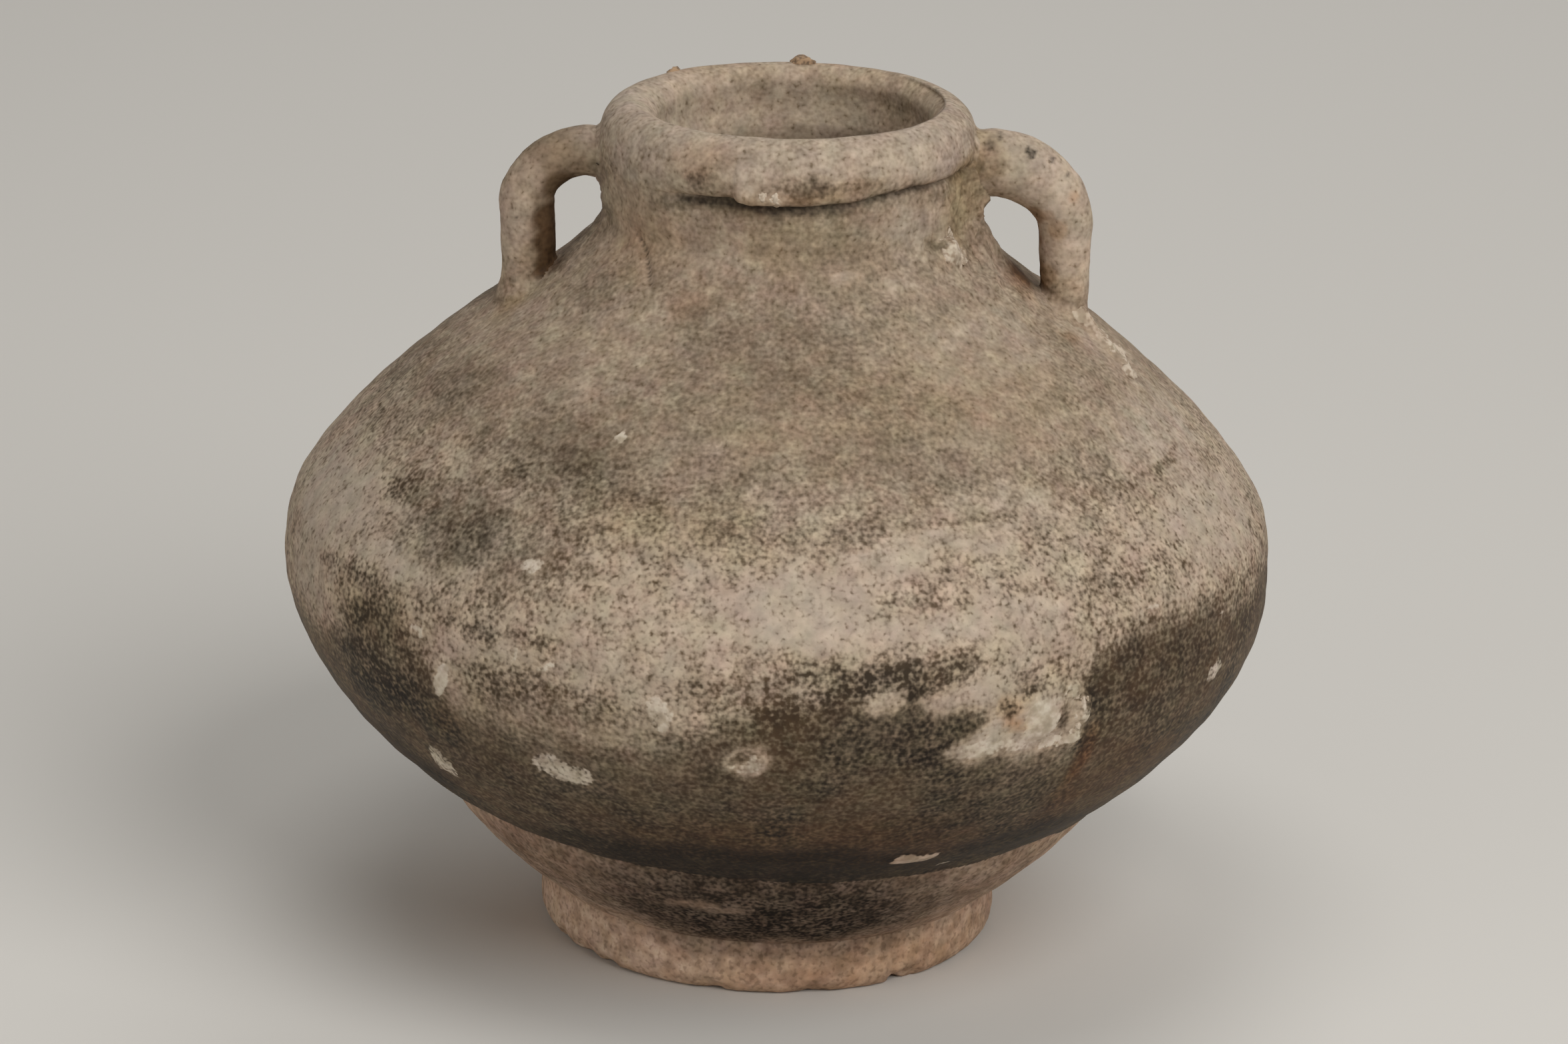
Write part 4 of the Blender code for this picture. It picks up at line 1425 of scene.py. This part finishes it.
@dataclass(frozen=True)
class WeatheredStoneware(Finish):
    """The jar's whole finish: glaze under a speckled bloom, bare clay, soot and painted shade, and
    crusts.
    """

    patterns: FiredGrain = FiredGrain()
    glaze: IronGlaze = IronGlaze()
    bloom: LimeBloom = LimeBloom()
    clay: BareStoneware = BareStoneware()
    crust: LimeCrust = LimeCrust()
    # the colour of soot, and of the painted shade under the rim's edge and on the lowest glaze
    soot_and_shade: str = "#1F1914"
    pit_gain: float = 1.45
    cluster_gain: float = 0.78
    calm_share: float = 0.6
    streak_gain: float = 0.5
    bloom_gain: float = 0.8
    crisp: float = 0.3
    soft: float = 0.9
    tone_share: float = 0.5
    hue_share: float = 0.08
    tooth: float = 0.08 * MM
    ior: float = 1.5
    specular: float = 0.14

    def cover(self, ground: Ground, bloom: Socket, haze: Socket) -> Socket:
        """Where the bloom covers the glaze: fine noise held against the painted share.

        Args:
            ground: the patterns.
            bloom: how much bloom is painted.
            haze: how soft its edge is.

        Returns:
            How far it covers the glaze.
        """
        tree = ground.tree
        calm = add_node(tree, "ShaderNodeMapRange", SMOOTH, {
            0: haze, 3: self.cluster_gain, 4: self.calm_share * self.cluster_gain}).outputs[0]
        drift = summed(tree, -0.5, (ground.mid, 1.0))
        clusters = add_node(tree, "ShaderNodeMath", TIMES, {0: drift, 1: calm}).outputs[0]
        field_here = summed(tree, clusters, (ground.fine, self.pit_gain),
                            (ground.streak, self.streak_gain), (bloom, self.bloom_gain))
        middle = 0.5 * (self.pit_gain + self.streak_gain + self.bloom_gain)
        width = add_node(tree, "ShaderNodeMapRange", SMOOTH, {
            0: haze, 3: self.crisp, 4: self.soft}).outputs[0]
        return add_node(tree, "ShaderNodeMapRange", SMOOTH, {
            0: field_here, 1: summed(tree, middle, (width, -1.0)),
            2: summed(tree, middle, (width, 1.0))}).outputs[0]

    def surface(self, tree: bpy.types.NodeTree) -> dict[str, Socket | str | float]:
        """The shader's inputs, by name: the layers from the glaze up, then gloss and tooth.

        Args:
            tree: the material's node tree.

        Returns:
            A socket, colour or value for each input.
        """
        ground = self.patterns.ground(tree)
        bloom, haze, bare, soot_and_shade, crust = (
            add_node(tree, "ShaderNodeAttribute", {"attribute_name": channel.value}, {})
            .outputs["Fac"] for channel in Channel)
        # stains, with painted light and shade, multiply the skin's colour
        stain_and_painted_light = add_node(tree, "ShaderNodeAttribute", {"attribute_name": STAIN_AND_PAINTED_LIGHT}, {})
        cover = self.cover(ground, bloom, haze)
        # silt stays on the glaze between the bloom's specks
        both = add_node(tree, "ShaderNodeMath", TIMES, {0: bloom, 1: haze}).outputs[0]
        silt = summed(tree, -0.1, (bloom, 0.74), (both, 0.8))
        silt = add_node(tree, "ShaderNodeClamp", {}, {"Value": silt, "Max": 0.95}).outputs[0]
        bare = add_node(tree, "ShaderNodeMapRange", SMOOTH, {
            0: summed(tree, bare, (ground.fine, 0.5)), 1: 0.62, 2: 0.88}).outputs[0]
        worn = add_node(tree, "ShaderNodeMapRange", SMOOTH, {
            0: summed(tree, ground.fine, (ground.mid, 0.6)), 1: 1.1, 2: 0.6, 3: 0.7}).outputs[0]
        # soot and painted shade, broken by the grain
        soot_and_shade_cover = add_node(tree, "ShaderNodeMath", TIMES, {0: soot_and_shade, 1: worn}).outputs[0]
        crusted = add_node(tree, "ShaderNodeMapRange", SMOOTH, {
            0: summed(tree, crust, (ground.fine, 0.7)), 1: 0.68, 2: 0.98}).outputs[0]
        film = layered(tree, self.glaze.film, Layer(self.bloom.colour(ground, bloom), bloom, 0.1, 0.55))
        skin = layered(tree, self.glaze.colour(ground, silt),
                       Layer(film, cover),
                       Layer(self.clay.colour(ground), bare),
                       Layer(self.soot_and_shade, soot_and_shade_cover),
                       Layer(self.crust.colour(ground), crusted),
                       Layer(stain_and_painted_light.outputs["Color"], 1.0, blend="MULTIPLY"),
                       Layer(ground.tone, self.tone_share, blend="OVERLAY"),
                       Layer(ground.hue, self.hue_share, blend="OVERLAY"))
        matt = add_node(tree, "ShaderNodeMath", {"operation": "MAXIMUM"}, {0: cover, 1: bare})
        gloss = add_node(tree, "ShaderNodeMapRange", SMOOTH, {
            0: matt.outputs[0], 3: self.glaze.roughness, 4: self.bloom.roughness}).outputs[0]
        strength = add_node(tree, "ShaderNodeMapRange", SMOOTH, {
            0: haze, 1: 0.1, 2: 0.9, 3: 1.0, 4: 0.4}).outputs[0]
        relief = summed(tree, ground.fine, (ground.mid, 1.4), (cover, 0.2), (crusted, 0.4))
        bump = add_node(tree, "ShaderNodeBump", {}, {
            "Distance": self.tooth, "Height": relief, "Strength": strength}).outputs[0]
        return {"Base Color": skin, "Roughness": gloss, "Normal": bump, "IOR": self.ior,
                "Specular IOR Level": self.specular}


@dataclass(frozen=True)
class LumpFinish(Finish):
    """Hard crust on its own, lime or burnt grit: pale grains in dirty hollows, quite matt."""

    pale: str
    dirty: str
    roughness: float = 0.9
    tooth: float = 0.06 * MM

    def surface(self, tree: bpy.types.NodeTree) -> dict[str, Socket | str | float]:
        """The shader's inputs, by name: pale grains over the dirt, and a rough tooth.

        Args:
            tree: the material's node tree.

        Returns:
            A socket, colour or value for each input.
        """
        fine = FiredGrain().ground(tree).fine
        bump = add_node(tree, "ShaderNodeBump", {}, {
            "Strength": 1.0, "Distance": self.tooth, "Height": fine}).outputs[0]
        return {"Base Color": layered(tree, self.dirty, Layer(self.pale, fine, 0.34, 0.6)),
                "Roughness": self.roughness, "Normal": bump}


@dataclass(frozen=True)
class Paper(Finish):
    """Uncoated studio paper: pale, even and without any shine."""

    colour: str = "#D8D4CD"
    roughness: float = 0.95

    def surface(self, tree: bpy.types.NodeTree) -> dict[str, Socket | str | float]:
        """The shader's inputs, by name."""
        return {"Base Color": self.colour, "Roughness": self.roughness}


def shown(name: str, mesh: bpy.types.Mesh, material: bpy.types.Material, slot: Slot,
          *nodes: str) -> bpy.types.Object:
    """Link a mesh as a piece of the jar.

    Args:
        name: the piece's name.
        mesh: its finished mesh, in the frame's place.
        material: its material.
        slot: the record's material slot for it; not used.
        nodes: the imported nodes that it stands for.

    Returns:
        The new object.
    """
    mesh.materials.clear()
    mesh.materials.append(material)
    mesh.shade_smooth()
    piece = bpy.data.objects.new(name, mesh)
    bpy.context.scene.collection.objects.link(piece)
    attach(piece, BODY)
    if nodes:
        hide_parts(*nodes)
    log.info("%s: %d faces, stands for %s", name, len(mesh.polygons), ", ".join(nodes) or "nothing")
    return piece


@dataclass
class ThrownBody:
    """The thrown and glazed jar without foot and handles, cut into its parts at the luted seams."""

    form: JarForm
    hand: ClayHand
    weathering: Weathering
    material: bpy.types.Material
    # painted light: a tint that brightens the whole inside, where the rim shades it from the lamps
    inside_painted_light: str = "#F0EEEA"
    seam_reach: float = 0.05 * MM
    parts: tuple[tuple[str, Slot, str], ...] = (
        ("glazed_lower_body", Slot.DARK_GLAZE, "lower_body"),
        ("glazed_upper_body", Slot.PALE_GLAZE, "upper_body"),
        ("glazed_neck", Slot.PALE_GLAZE, "neck"),
        ("rolled_rim", Slot.PALE_GLAZE, "rim"),
    )

    def build(self) -> list[bpy.types.Object]:
        """Spin, work and paint the whole wall, then cut it into its parts.

        Returns:
            One object for each part.
        """
        whole = spun("thrown_wall", self.form.outline(), self.form.turn_steps)
        plain = to_points(whole)
        outside = self.hand.is_outside(plain)
        set_points(whole, self.hand.worked(plain, to_normals(whole)))
        self.weathering.paint(whole, plain, outside, self.weathering.ground(plain, outside),
                              self.inside_painted_light, np.where(outside, 0.0, 1.0))
        store(whole, "plain", plain, "FLOAT_VECTOR")
        store(whole, "whole_normal", to_normals(whole), "FLOAT_VECTOR")
        bounds = (-1.0,) + self.form.seam_heights + (1.0,)
        pieces = []
        for (name, slot, node), low, high in zip(self.parts, bounds, bounds[1:]):
            mesh = self.cut(whole, name, low, high)
            pieces.append(shown(name, mesh, self.material, slot, node))
        bpy.data.meshes.remove(whole)
        return pieces

    def cut(self, whole: bpy.types.Mesh, name: str, low: float, high: float) -> bpy.types.Mesh:
        """One part of the wall, between two seams, closed through the wall's thickness.

        Args:
            whole: the finished wall.
            name: the part's name.
            low: the plain height of its lower seam.
            high: the plain height of its upper seam.

        Returns:
            The part's mesh, shaded as the whole wall is.
        """
        shape = bmesh.new()
        shape.from_mesh(whole)
        plain = shape.verts.layers.float_vector["plain"]
        spare = [face for face in shape.faces
                 if not low < sum(vert[plain].z for vert in face.verts) / len(face.verts) < high]
        bmesh.ops.delete(shape, geom=spare, context="FACES")
        for seam in (low, high):
            open_verts = [vert for vert in shape.verts if vert.is_boundary
                          and abs(vert[plain].z - seam) < self.seam_reach]
            open_verts.sort(key=lambda vert: (round(vert[plain].xy.length / MM, 1),
                                              math.atan2(vert[plain].y, vert[plain].x)))
            half = len(open_verts) // 2
            inner, outer = open_verts[:half], open_verts[half:]
            for step in range(half):
                shape.faces.new((inner[step - 1], inner[step], outer[step], outer[step - 1]))
        bmesh.ops.recalc_face_normals(shape, faces=shape.faces[:])
        mesh = finished(shape, name)
        mesh.shade_smooth()
        flat = np.empty(len(mesh.vertices) * 3, np.float32)
        mesh.attributes["whole_normal"].data.foreach_get("vector", flat)
        mesh.normals_split_custom_set_from_vertices(flat.reshape(-1, 3))
        for spent in ("whole_normal", "plain"):
            mesh.attributes.remove(mesh.attributes[spent])
        return mesh


@dataclass
class TurnedFoot:
    """The turned foot: bare clay, its edge pared and chipped, its underside hollowed."""

    form: JarForm
    hand: ClayHand
    weathering: Weathering
    material: bpy.types.Material
    ring_width: float = 6.0 * MM
    edge_width: float = 1.2 * MM
    edge_height: float = 1.5 * MM
    hollow_depth: float = 1.6 * MM
    groove_rise: float = 0.04 * MM
    groove_pitch: float = 1.7 * MM
    sink: float = 0.5 * MM
    spacing: float = 0.55 * MM
    turn_steps: int = 420
    chips: tuple[Mark, ...] = marks(
        (-52, 0.8, 1.6, 1.1, -0.35), (-44, 0.6, 1.2, 0.9, -0.35), (-63, 1, 1.4, 0.9, -0.3),
        (36, 0.6, 1.3, 0.9, -0.7), (41, 0.9, 0.8, 0.7, -0.4), (12, 0.5, 1.8, 0.7, -0.3),
        (-12, 0.6, 1.6, 0.7, -0.3), (120, 0.7, 1.9, 1, -0.6), (171, 0.8, 1.4, 0.8, -0.5),
        (-140, 0.7, 1.6, 1, -0.6), (-20, 3.3, 1.1, 0.5, -0.25),
    )

    def outline(self) -> Line:
        """The foot's closed outline, from the middle of its hollow out and up.

        Returns:
            Radius and height of each point.
        """
        outer = self.form.foot_radius
        stand = outer - self.edge_width
        hollow = stand - self.ring_width
        top = self.form.base_height + self.sink
        under = eased_run([(0.0, self.hollow_depth), (0.4 * hollow, self.hollow_depth),
                           (hollow - 2.2 * MM, self.hollow_depth), (hollow - 0.9 * MM, 0.8 * MM),
                           (hollow, 0.15 * MM), (hollow + 1.0 * MM, 0.0), (stand - 1.0 * MM, 0.0),
                           (stand, 0.12 * MM), (stand + 0.55 * self.edge_width, 0.55 * MM),
                           (outer - 0.1 * MM, self.edge_height), (outer, 2.6 * MM),
                           (outer - 0.05 * MM, 0.7 * top), (outer, top)], self.spacing)
        return under + [(0.6 * outer, top), (0.0, top)]

    def build(self) -> bpy.types.Object:
        """Spin the foot, work its surface and paint it.

        Returns:
            The foot's object.
        """
        mesh = spun("turned_foot", self.outline(), self.turn_steps)
        plain = to_points(mesh)
        height = plain[:, 2]
        warp = np.stack([grain(plain, 1.6 * MM, 31, 2), grain(plain, 1.6 * MM, 32, 2)], axis=1)
        rise = sum(chip.value * MM * chip.weight(plain, 0.5 * MM * warp, 1.0) for chip in self.chips)
        rise += 0.7 * self.hand.texture(plain) + 0.05 * MM * grain(plain, 1.1 * MM, 33, 2)
        turned = self.groove_rise * np.sin(math.tau * axis_distance(plain) / self.groove_pitch)
        rise += turned * (height < self.hollow_depth)
        moved = plain + to_normals(mesh) * rise[:, None]
        moved[:, 2] = np.where(height < 0.5 * MM, np.maximum(moved[:, 2], 0.0), moved[:, 2])
        set_points(mesh, np.where((height > self.form.base_height)[:, None], plain, moved))
        outside = np.ones(len(plain), bool)
        painted = self.weathering.ground(plain, outside)
        painted[Channel.BARE][:] = 1.0
        self.weathering.paint(mesh, plain, outside, painted, "#FFFFFF", np.zeros(len(plain)))
        return shown("turned_foot", mesh, self.material, Slot.BARE_CLAY, "foot")


@dataclass
class CoilHandle:
    """One handle's skin: the coil with its luted roots, pressed, swollen and painted."""

    form: JarForm
    hand: ClayHand
    weathering: Weathering
    material: bpy.types.Material
    handle: Handle
    spots: tuple[Spot, ...]
    tint: str
    bloom: float = 0.98
    haze: float = 0.6
    fillet_most: float = 0.5
    press_rise: float = 0.12 * MM
    tooth_rise: float = 0.07 * MM

    def build(self) -> bpy.types.Object:
        """Extrude the coil, join its roots to the jar and paint it.

        Returns:
            The handle's object.
        """
        mesh = self.handle.skin_mesh()
        plain = to_points(mesh)
        normals = to_normals(mesh)
        rise = fillet_rise(plain, normals, self.form.distance, self.handle.fillet(plain),
                           self.fillet_most)
        rise += self.hand.texture(plain) + self.press_rise * grain(plain, 5 * MM, 41, 2)
        rise += self.tooth_rise * grain(plain, 1.6 * MM, 42, 3)
        set_points(mesh, self.hand.leant(plain + normals * rise[:, None]))
        wall = self.form.distance(plain)
        free = smooth_step(0.5 * MM, 5.0 * MM, wall + 0.8 * MM * grain(plain, 3 * MM, 44, 2))
        painted = self.weathering.ground(plain, np.ones(len(plain), bool))
        for channel, value in ((Channel.BLOOM, self.bloom), (Channel.HAZE, self.haze),
                               (Channel.BARE, 0.0)):
            painted[channel] += (value - painted[channel]) * free
        self.weathering.paint(mesh, plain, wall < 1.2 * MM, painted, self.tint, free, self.spots)
        node = self.handle.node
        return shown(self.handle.name, mesh, self.material, Slot.PALE_GLAZE, node,
                     node + "_upper_pad", node + "_lower_pad")


@dataclass(frozen=True)
class Lump:
    """One hard lump on the skin, by azimuth and height, with its half sizes."""

    azimuth: float
    height: float
    half_width: float
    half_height: float
    stand: float
    radius: float = 0.0


@dataclass(frozen=True)
class CrustTrail:
    """A rough line of small lumps that have grown together."""

    start: tuple[float, float]
    end: tuple[float, float]
    count: int
    size: float
    scatter: float
    radius: float = 0.0

    def lumps(self) -> list[Lump]:
        """Its lumps, of random sizes, scattered along the line.

        Returns:
            The lumps, from start to end.
        """
        draw = np.random.default_rng(self.count + round(self.start[1]))
        made = []
        for step in range(self.count):
            share = (step + draw.uniform(0.0, 1.0)) / self.count
            azimuth = self.start[0] + (self.end[0] - self.start[0]) * share
            height = self.start[1] + (self.end[1] - self.start[1]) * share
            size = self.size * draw.uniform(0.5, 1.1)
            made.append(Lump(azimuth + self.scatter * draw.normal(),
                             height + 0.5 * self.scatter * draw.normal(),
                             size * draw.uniform(0.8, 1.3), size * draw.uniform(0.8, 1.3),
                             0.7 * size, self.radius))
        return made


@dataclass
class CrustLumps:
    """Hard lumps that stand on the skin, each a closed, rough pebble sunk part way in."""

    name: str
    form: JarForm
    hand: ClayHand
    material: bpy.types.Material
    lumps: list[Lump]
    seed: int = 51
    roughness: float = 0.38

    def build(self) -> bpy.types.Object:
        """Make every lump and join them as one piece.

        Returns:
            The lumps' object.
        """
        shape = bmesh.new()
        for index, lump in enumerate(self.lumps):
            made = bmesh.ops.create_icosphere(shape, subdivisions=3, radius=1.0)["verts"]
            for vert in made:
                place = vert.co * 1.7 + Vector((index * 3.1, self.seed, 0.0))
                vert.co *= 1.0 + self.roughness * noise.fractal(place, 0.9, 2.0, 4)
            bmesh.ops.transform(shape, matrix=self.place(lump), verts=made)
        return shown(self.name, finished(shape, self.name), self.material, Slot.PALE_GLAZE)

    def place(self, lump: Lump) -> Matrix:
        """A lump's frame: flat on the skin, scaled to its half sizes.

        Args:
            lump: the lump.

        Returns:
            The matrix that takes a ball of radius 1 there.
        """
        height = lump.height * MM
        turn = math.radians(lump.azimuth)
        step = 0.3 * MM
        radius = lump.radius * MM or float(self.form.radius_at(np.array([height]))[0])
        slope = float(np.diff(self.form.radius_at(np.array([height - step, height + step])))[0])
        tilt = math.atan2(-slope, 2 * step)
        spot = np.array([[radius * math.sin(turn), -radius * math.cos(turn), height]])
        centre = Vector(self.hand.leant(spot)[0])
        frame_turn = Matrix.Rotation(turn, 4, "Z") @ Matrix.Rotation(-tilt, 4, "X")
        size = Matrix.Diagonal((lump.half_width * MM, lump.stand * MM, lump.half_height * MM, 1.0))
        return Matrix.Translation(centre) @ frame_turn @ size


@dataclass(frozen=True)
class Studio:
    """A plain pale floor, soft light, and the camera at the photograph's angle."""

    floor_size: float = 6.0
    lens: float = 128.76
    sensor: float = 36.0
    clip: tuple[float, float] = (0.01, 20.0)
    pitch: float = math.radians(18.3)
    roll: float = math.radians(1.84)
    target: tuple[float, float, float] = (0.587 * MM, 0.0, 46.72 * MM)
    distance: float = 628.6 * MM
    room_colour: str = "#F2F0EC"
    room_strength: float = 0.18
    # each light's name, place in metres, width in metres and power in watts
    lights: tuple[tuple[str, tuple[float, float, float], float, float], ...] = (
        ("key", (0.46, -0.58, 0.66), 0.7, 6.15),
        ("top", (-0.1, -0.12, 0.95), 0.5, 1.6),
        ("fill", (-0.66, -0.6, 0.2), 0.8, 1.7),
        ("back", (0.1, 0.75, 0.7), 0.6, 2.0),
    )

    def build(self) -> None:
        """Make the floor, the lights and the camera."""
        self.floor()
        for name, place, size, power in self.lights:
            self.light(name, place, size, power)
        self.world()
        self.camera()

    def floor(self) -> None:
        """Lay a pale floor of paper under the jar's foot."""
        shape = bmesh.new()
        bmesh.ops.create_grid(shape, x_segments=1, y_segments=1, size=self.floor_size / 2)
        mesh = finished(shape, "floor")
        mesh.materials.append(Paper("pale_paper").material())
        floor = bpy.data.objects.new("floor", mesh)
        bpy.context.scene.collection.objects.link(floor)

    def light(self, name: str, place: tuple[float, float, float], size: float,
              power: float) -> None:
        """Hang one soft light, aimed at the middle of the jar.

        Args:
            name: the light's name.
            place: where it hangs.
            size: how wide it is.
            power: its power in watts.
        """
        data = bpy.data.lights.new(name, "AREA")
        data.shape = "DISK"
        data.size = size
        data.energy = power
        lamp = bpy.data.objects.new(name, data)
        aim = Vector(self.target) - Vector(place)
        lamp.matrix_world = Matrix.Translation(place) @ aim.to_track_quat("-Z", "Y").to_matrix().to_4x4()
        bpy.context.scene.collection.objects.link(lamp)

    def world(self) -> None:
        """Fill the room with an even, pale light."""
        world = bpy.data.worlds.new("room")
        world.use_nodes = True
        background = world.node_tree.nodes["Background"]
        background.inputs["Color"].default_value = linear(self.room_colour)
        background.inputs["Strength"].default_value = self.room_strength
        bpy.context.scene.world = world

    def camera(self) -> None:
        """Set the camera where the photograph was taken from."""
        data = bpy.data.cameras.new("camera")
        data.lens = self.lens
        data.sensor_width = self.sensor
        data.clip_start, data.clip_end = self.clip
        camera = bpy.data.objects.new("camera", data)
        turn = (Matrix.Rotation(math.pi / 2 - self.pitch, 4, "X")
                @ Matrix.Rotation(self.roll, 4, "Z"))
        back = Vector((0.0, -math.cos(self.pitch), math.sin(self.pitch))) * self.distance
        camera.matrix_world = Matrix.Translation(Vector(self.target) + back) @ turn
        bpy.context.scene.collection.objects.link(camera)
        bpy.context.scene.camera = camera


# Marks on the left handle: painted light on its outer side, painted shade towards its hole, one pit
LEFT_SPOTS = (
    (24.5, 88.6, 2.4, 0.2, "#C4B8A4"), (31, 75.6, 2.2, 0.8, "#F0ECEA"),
    (30.6, 79.4, 2.4, 0.9, "#F0ECEA"), (30.4, 83.2, 2.4, 0.9, "#F0ECEA"),
    (29, 86.8, 2.2, 0.7, "#E8E4DE"), (26.4, 76.4, 1.7, 0.95, "#74624E"),
    (26.4, 79, 1.7, 0.95, "#74624E"), (26.2, 81.8, 1.8, 0.95, "#74624E"),
    (25, 85.6, 1.9, 0.8, "#786854"), (29.8, 82, 0.25, 0.6),
)
# Marks on the right handle: pits on its crown, rust and lime stains below them, and painted shade in the
# brown spots along its inner edge down to its lower root
RIGHT_SPOTS = (
    (26.6, 90.3, 0.4, 1), (26.1, 90.7, 0.34, 1), (21.8, 91.2, 0.5, 0.5), (23, 92, 0.4, 0.5),
    (28.8, 89.6, 0.3, 0.8), (30.6, 87.9, 0.35, 0.7), (31.3, 85.7, 0.6, 0.4, "#D8B494"),
    (26.4, 90.4, 2.6, 0.4, "#D8D6D4"), (31, 78, 3, 0.6, "#FFFBF6"),
    (29.6, 82.2, 1.1, 0.35, "#DCB894"), (28.6, 83.6, 0.7, 0.3, "#D0B090"),
    (28.4, 77, 1.2, 0.4, "#D8BC98"), (27, 83.4, 1.1, 0.6, "#B0906C"),
    (27, 80.6, 1, 0.6, "#A88C6E"), (27, 78.2, 1, 0.6, "#A88C6E"),
    (26.8, 76.4, 1.1, 0.6, "#93795C"), (21.2, 90, 2.6, 0.4, "#C6BB9C"),
)
# Lime along the rim's drip, by the right handle's roots and on the big scar
LIME_TRAILS = (
    CrustTrail((-11.5, 89.6), (-2.5, 89.2), 9, 0.6, 0.4),
    CrustTrail((57.0, 82.2), (62.5, 80.8), 14, 0.8, 1.0),
    CrustTrail((60.5, 84.4), (63.5, 82.6), 5, 0.5, 0.5),
    CrustTrail((84.0, 79.8), (78.0, 82.0), 4, 0.5, 1.0),
    CrustTrail((34.4, 44.3), (36.9, 42.6), 6, 0.5, 0.3),
    CrustTrail((36.9, 42.2), (35.6, 38.8), 8, 0.5, 0.3),
    CrustTrail((35.4, 38.4), (31.5, 38.2), 7, 0.45, 0.3),
    CrustTrail((81.5, 72.0), (84.0, 71.4), 5, 0.8, 0.5, 31.9),
    CrustTrail((87.4, 70.6), (80.2, 67.6), 20, 0.8, 0.6),
)
GRIT = (Lump(176.0, 95.2, 1.5, 0.8, 0.9, 17.6), Lump(-135.0, 95.0, 1.0, 0.6, 0.6, 18.4))


def main() -> None:
    """Build the jarlet's pieces in order, then the stage around them."""
    logging.basicConfig(level=logging.INFO, format="%(name)s: %(message)s")
    bpy.context.scene.view_settings.view_transform = "Standard"
    form = JarForm()
    left = Handle("left_coil_handle", "left_handle", side=-1, crown_coil=5.5 * MM,
                  drop_coil=6.2 * MM, foot_coil=5.8 * MM, bend_height=6.4 * MM,
                  crown_shift=0.95 * MM, root_drop=1.4 * MM, root_fillet=0.9 * MM,
                  foot_fillet=3.4 * MM)
    right = Handle("right_coil_handle", "right_handle", side=1, crown_coil=7.4 * MM,
                   drop_coil=5.9 * MM, foot_coil=5.0 * MM, bend_height=7.2 * MM,
                   crown_shift=-0.05 * MM, root_drop=1.2 * MM, root_fillet=1.0 * MM,
                   foot_fillet=2.0 * MM)
    for handle in (left, right):
        handle.lay(form)
    hand = ClayHand(form, [left, right])
    weathering = Weathering(hand)
    stoneware = WeatheredStoneware("weathered_stoneware").material()
    TurnedFoot(form, hand, weathering, stoneware).build()
    ThrownBody(form, hand, weathering, stoneware).build()
    # The left handle's greyer, darker tint is partly its colour and partly painted shade where the neck
    # shades it; the right handle's tint is a slight painted light
    for handle, rows, tint in ((left, LEFT_SPOTS, "#B8B0A6"), (right, RIGHT_SPOTS, "#EFEDEB")):
        spots = tuple(Spot(*row) for row in rows)
        CoilHandle(form, hand, weathering, stoneware, handle, spots, tint).build()
    lime = LumpFinish("hard_lime", "#C6B6A2", "#A08D78").material()
    lumps = [lump for trail in LIME_TRAILS for lump in trail.lumps()]
    CrustLumps("lime_crusts", form, hand, lime, lumps).build()
    grit = LumpFinish("burnt_grit", "#A98B6C", "#6E5A46").material()
    CrustLumps("kiln_grit", form, hand, grit, list(GRIT), seed=57).build()
    Studio().build()


if __name__ == "__main__":
    main()
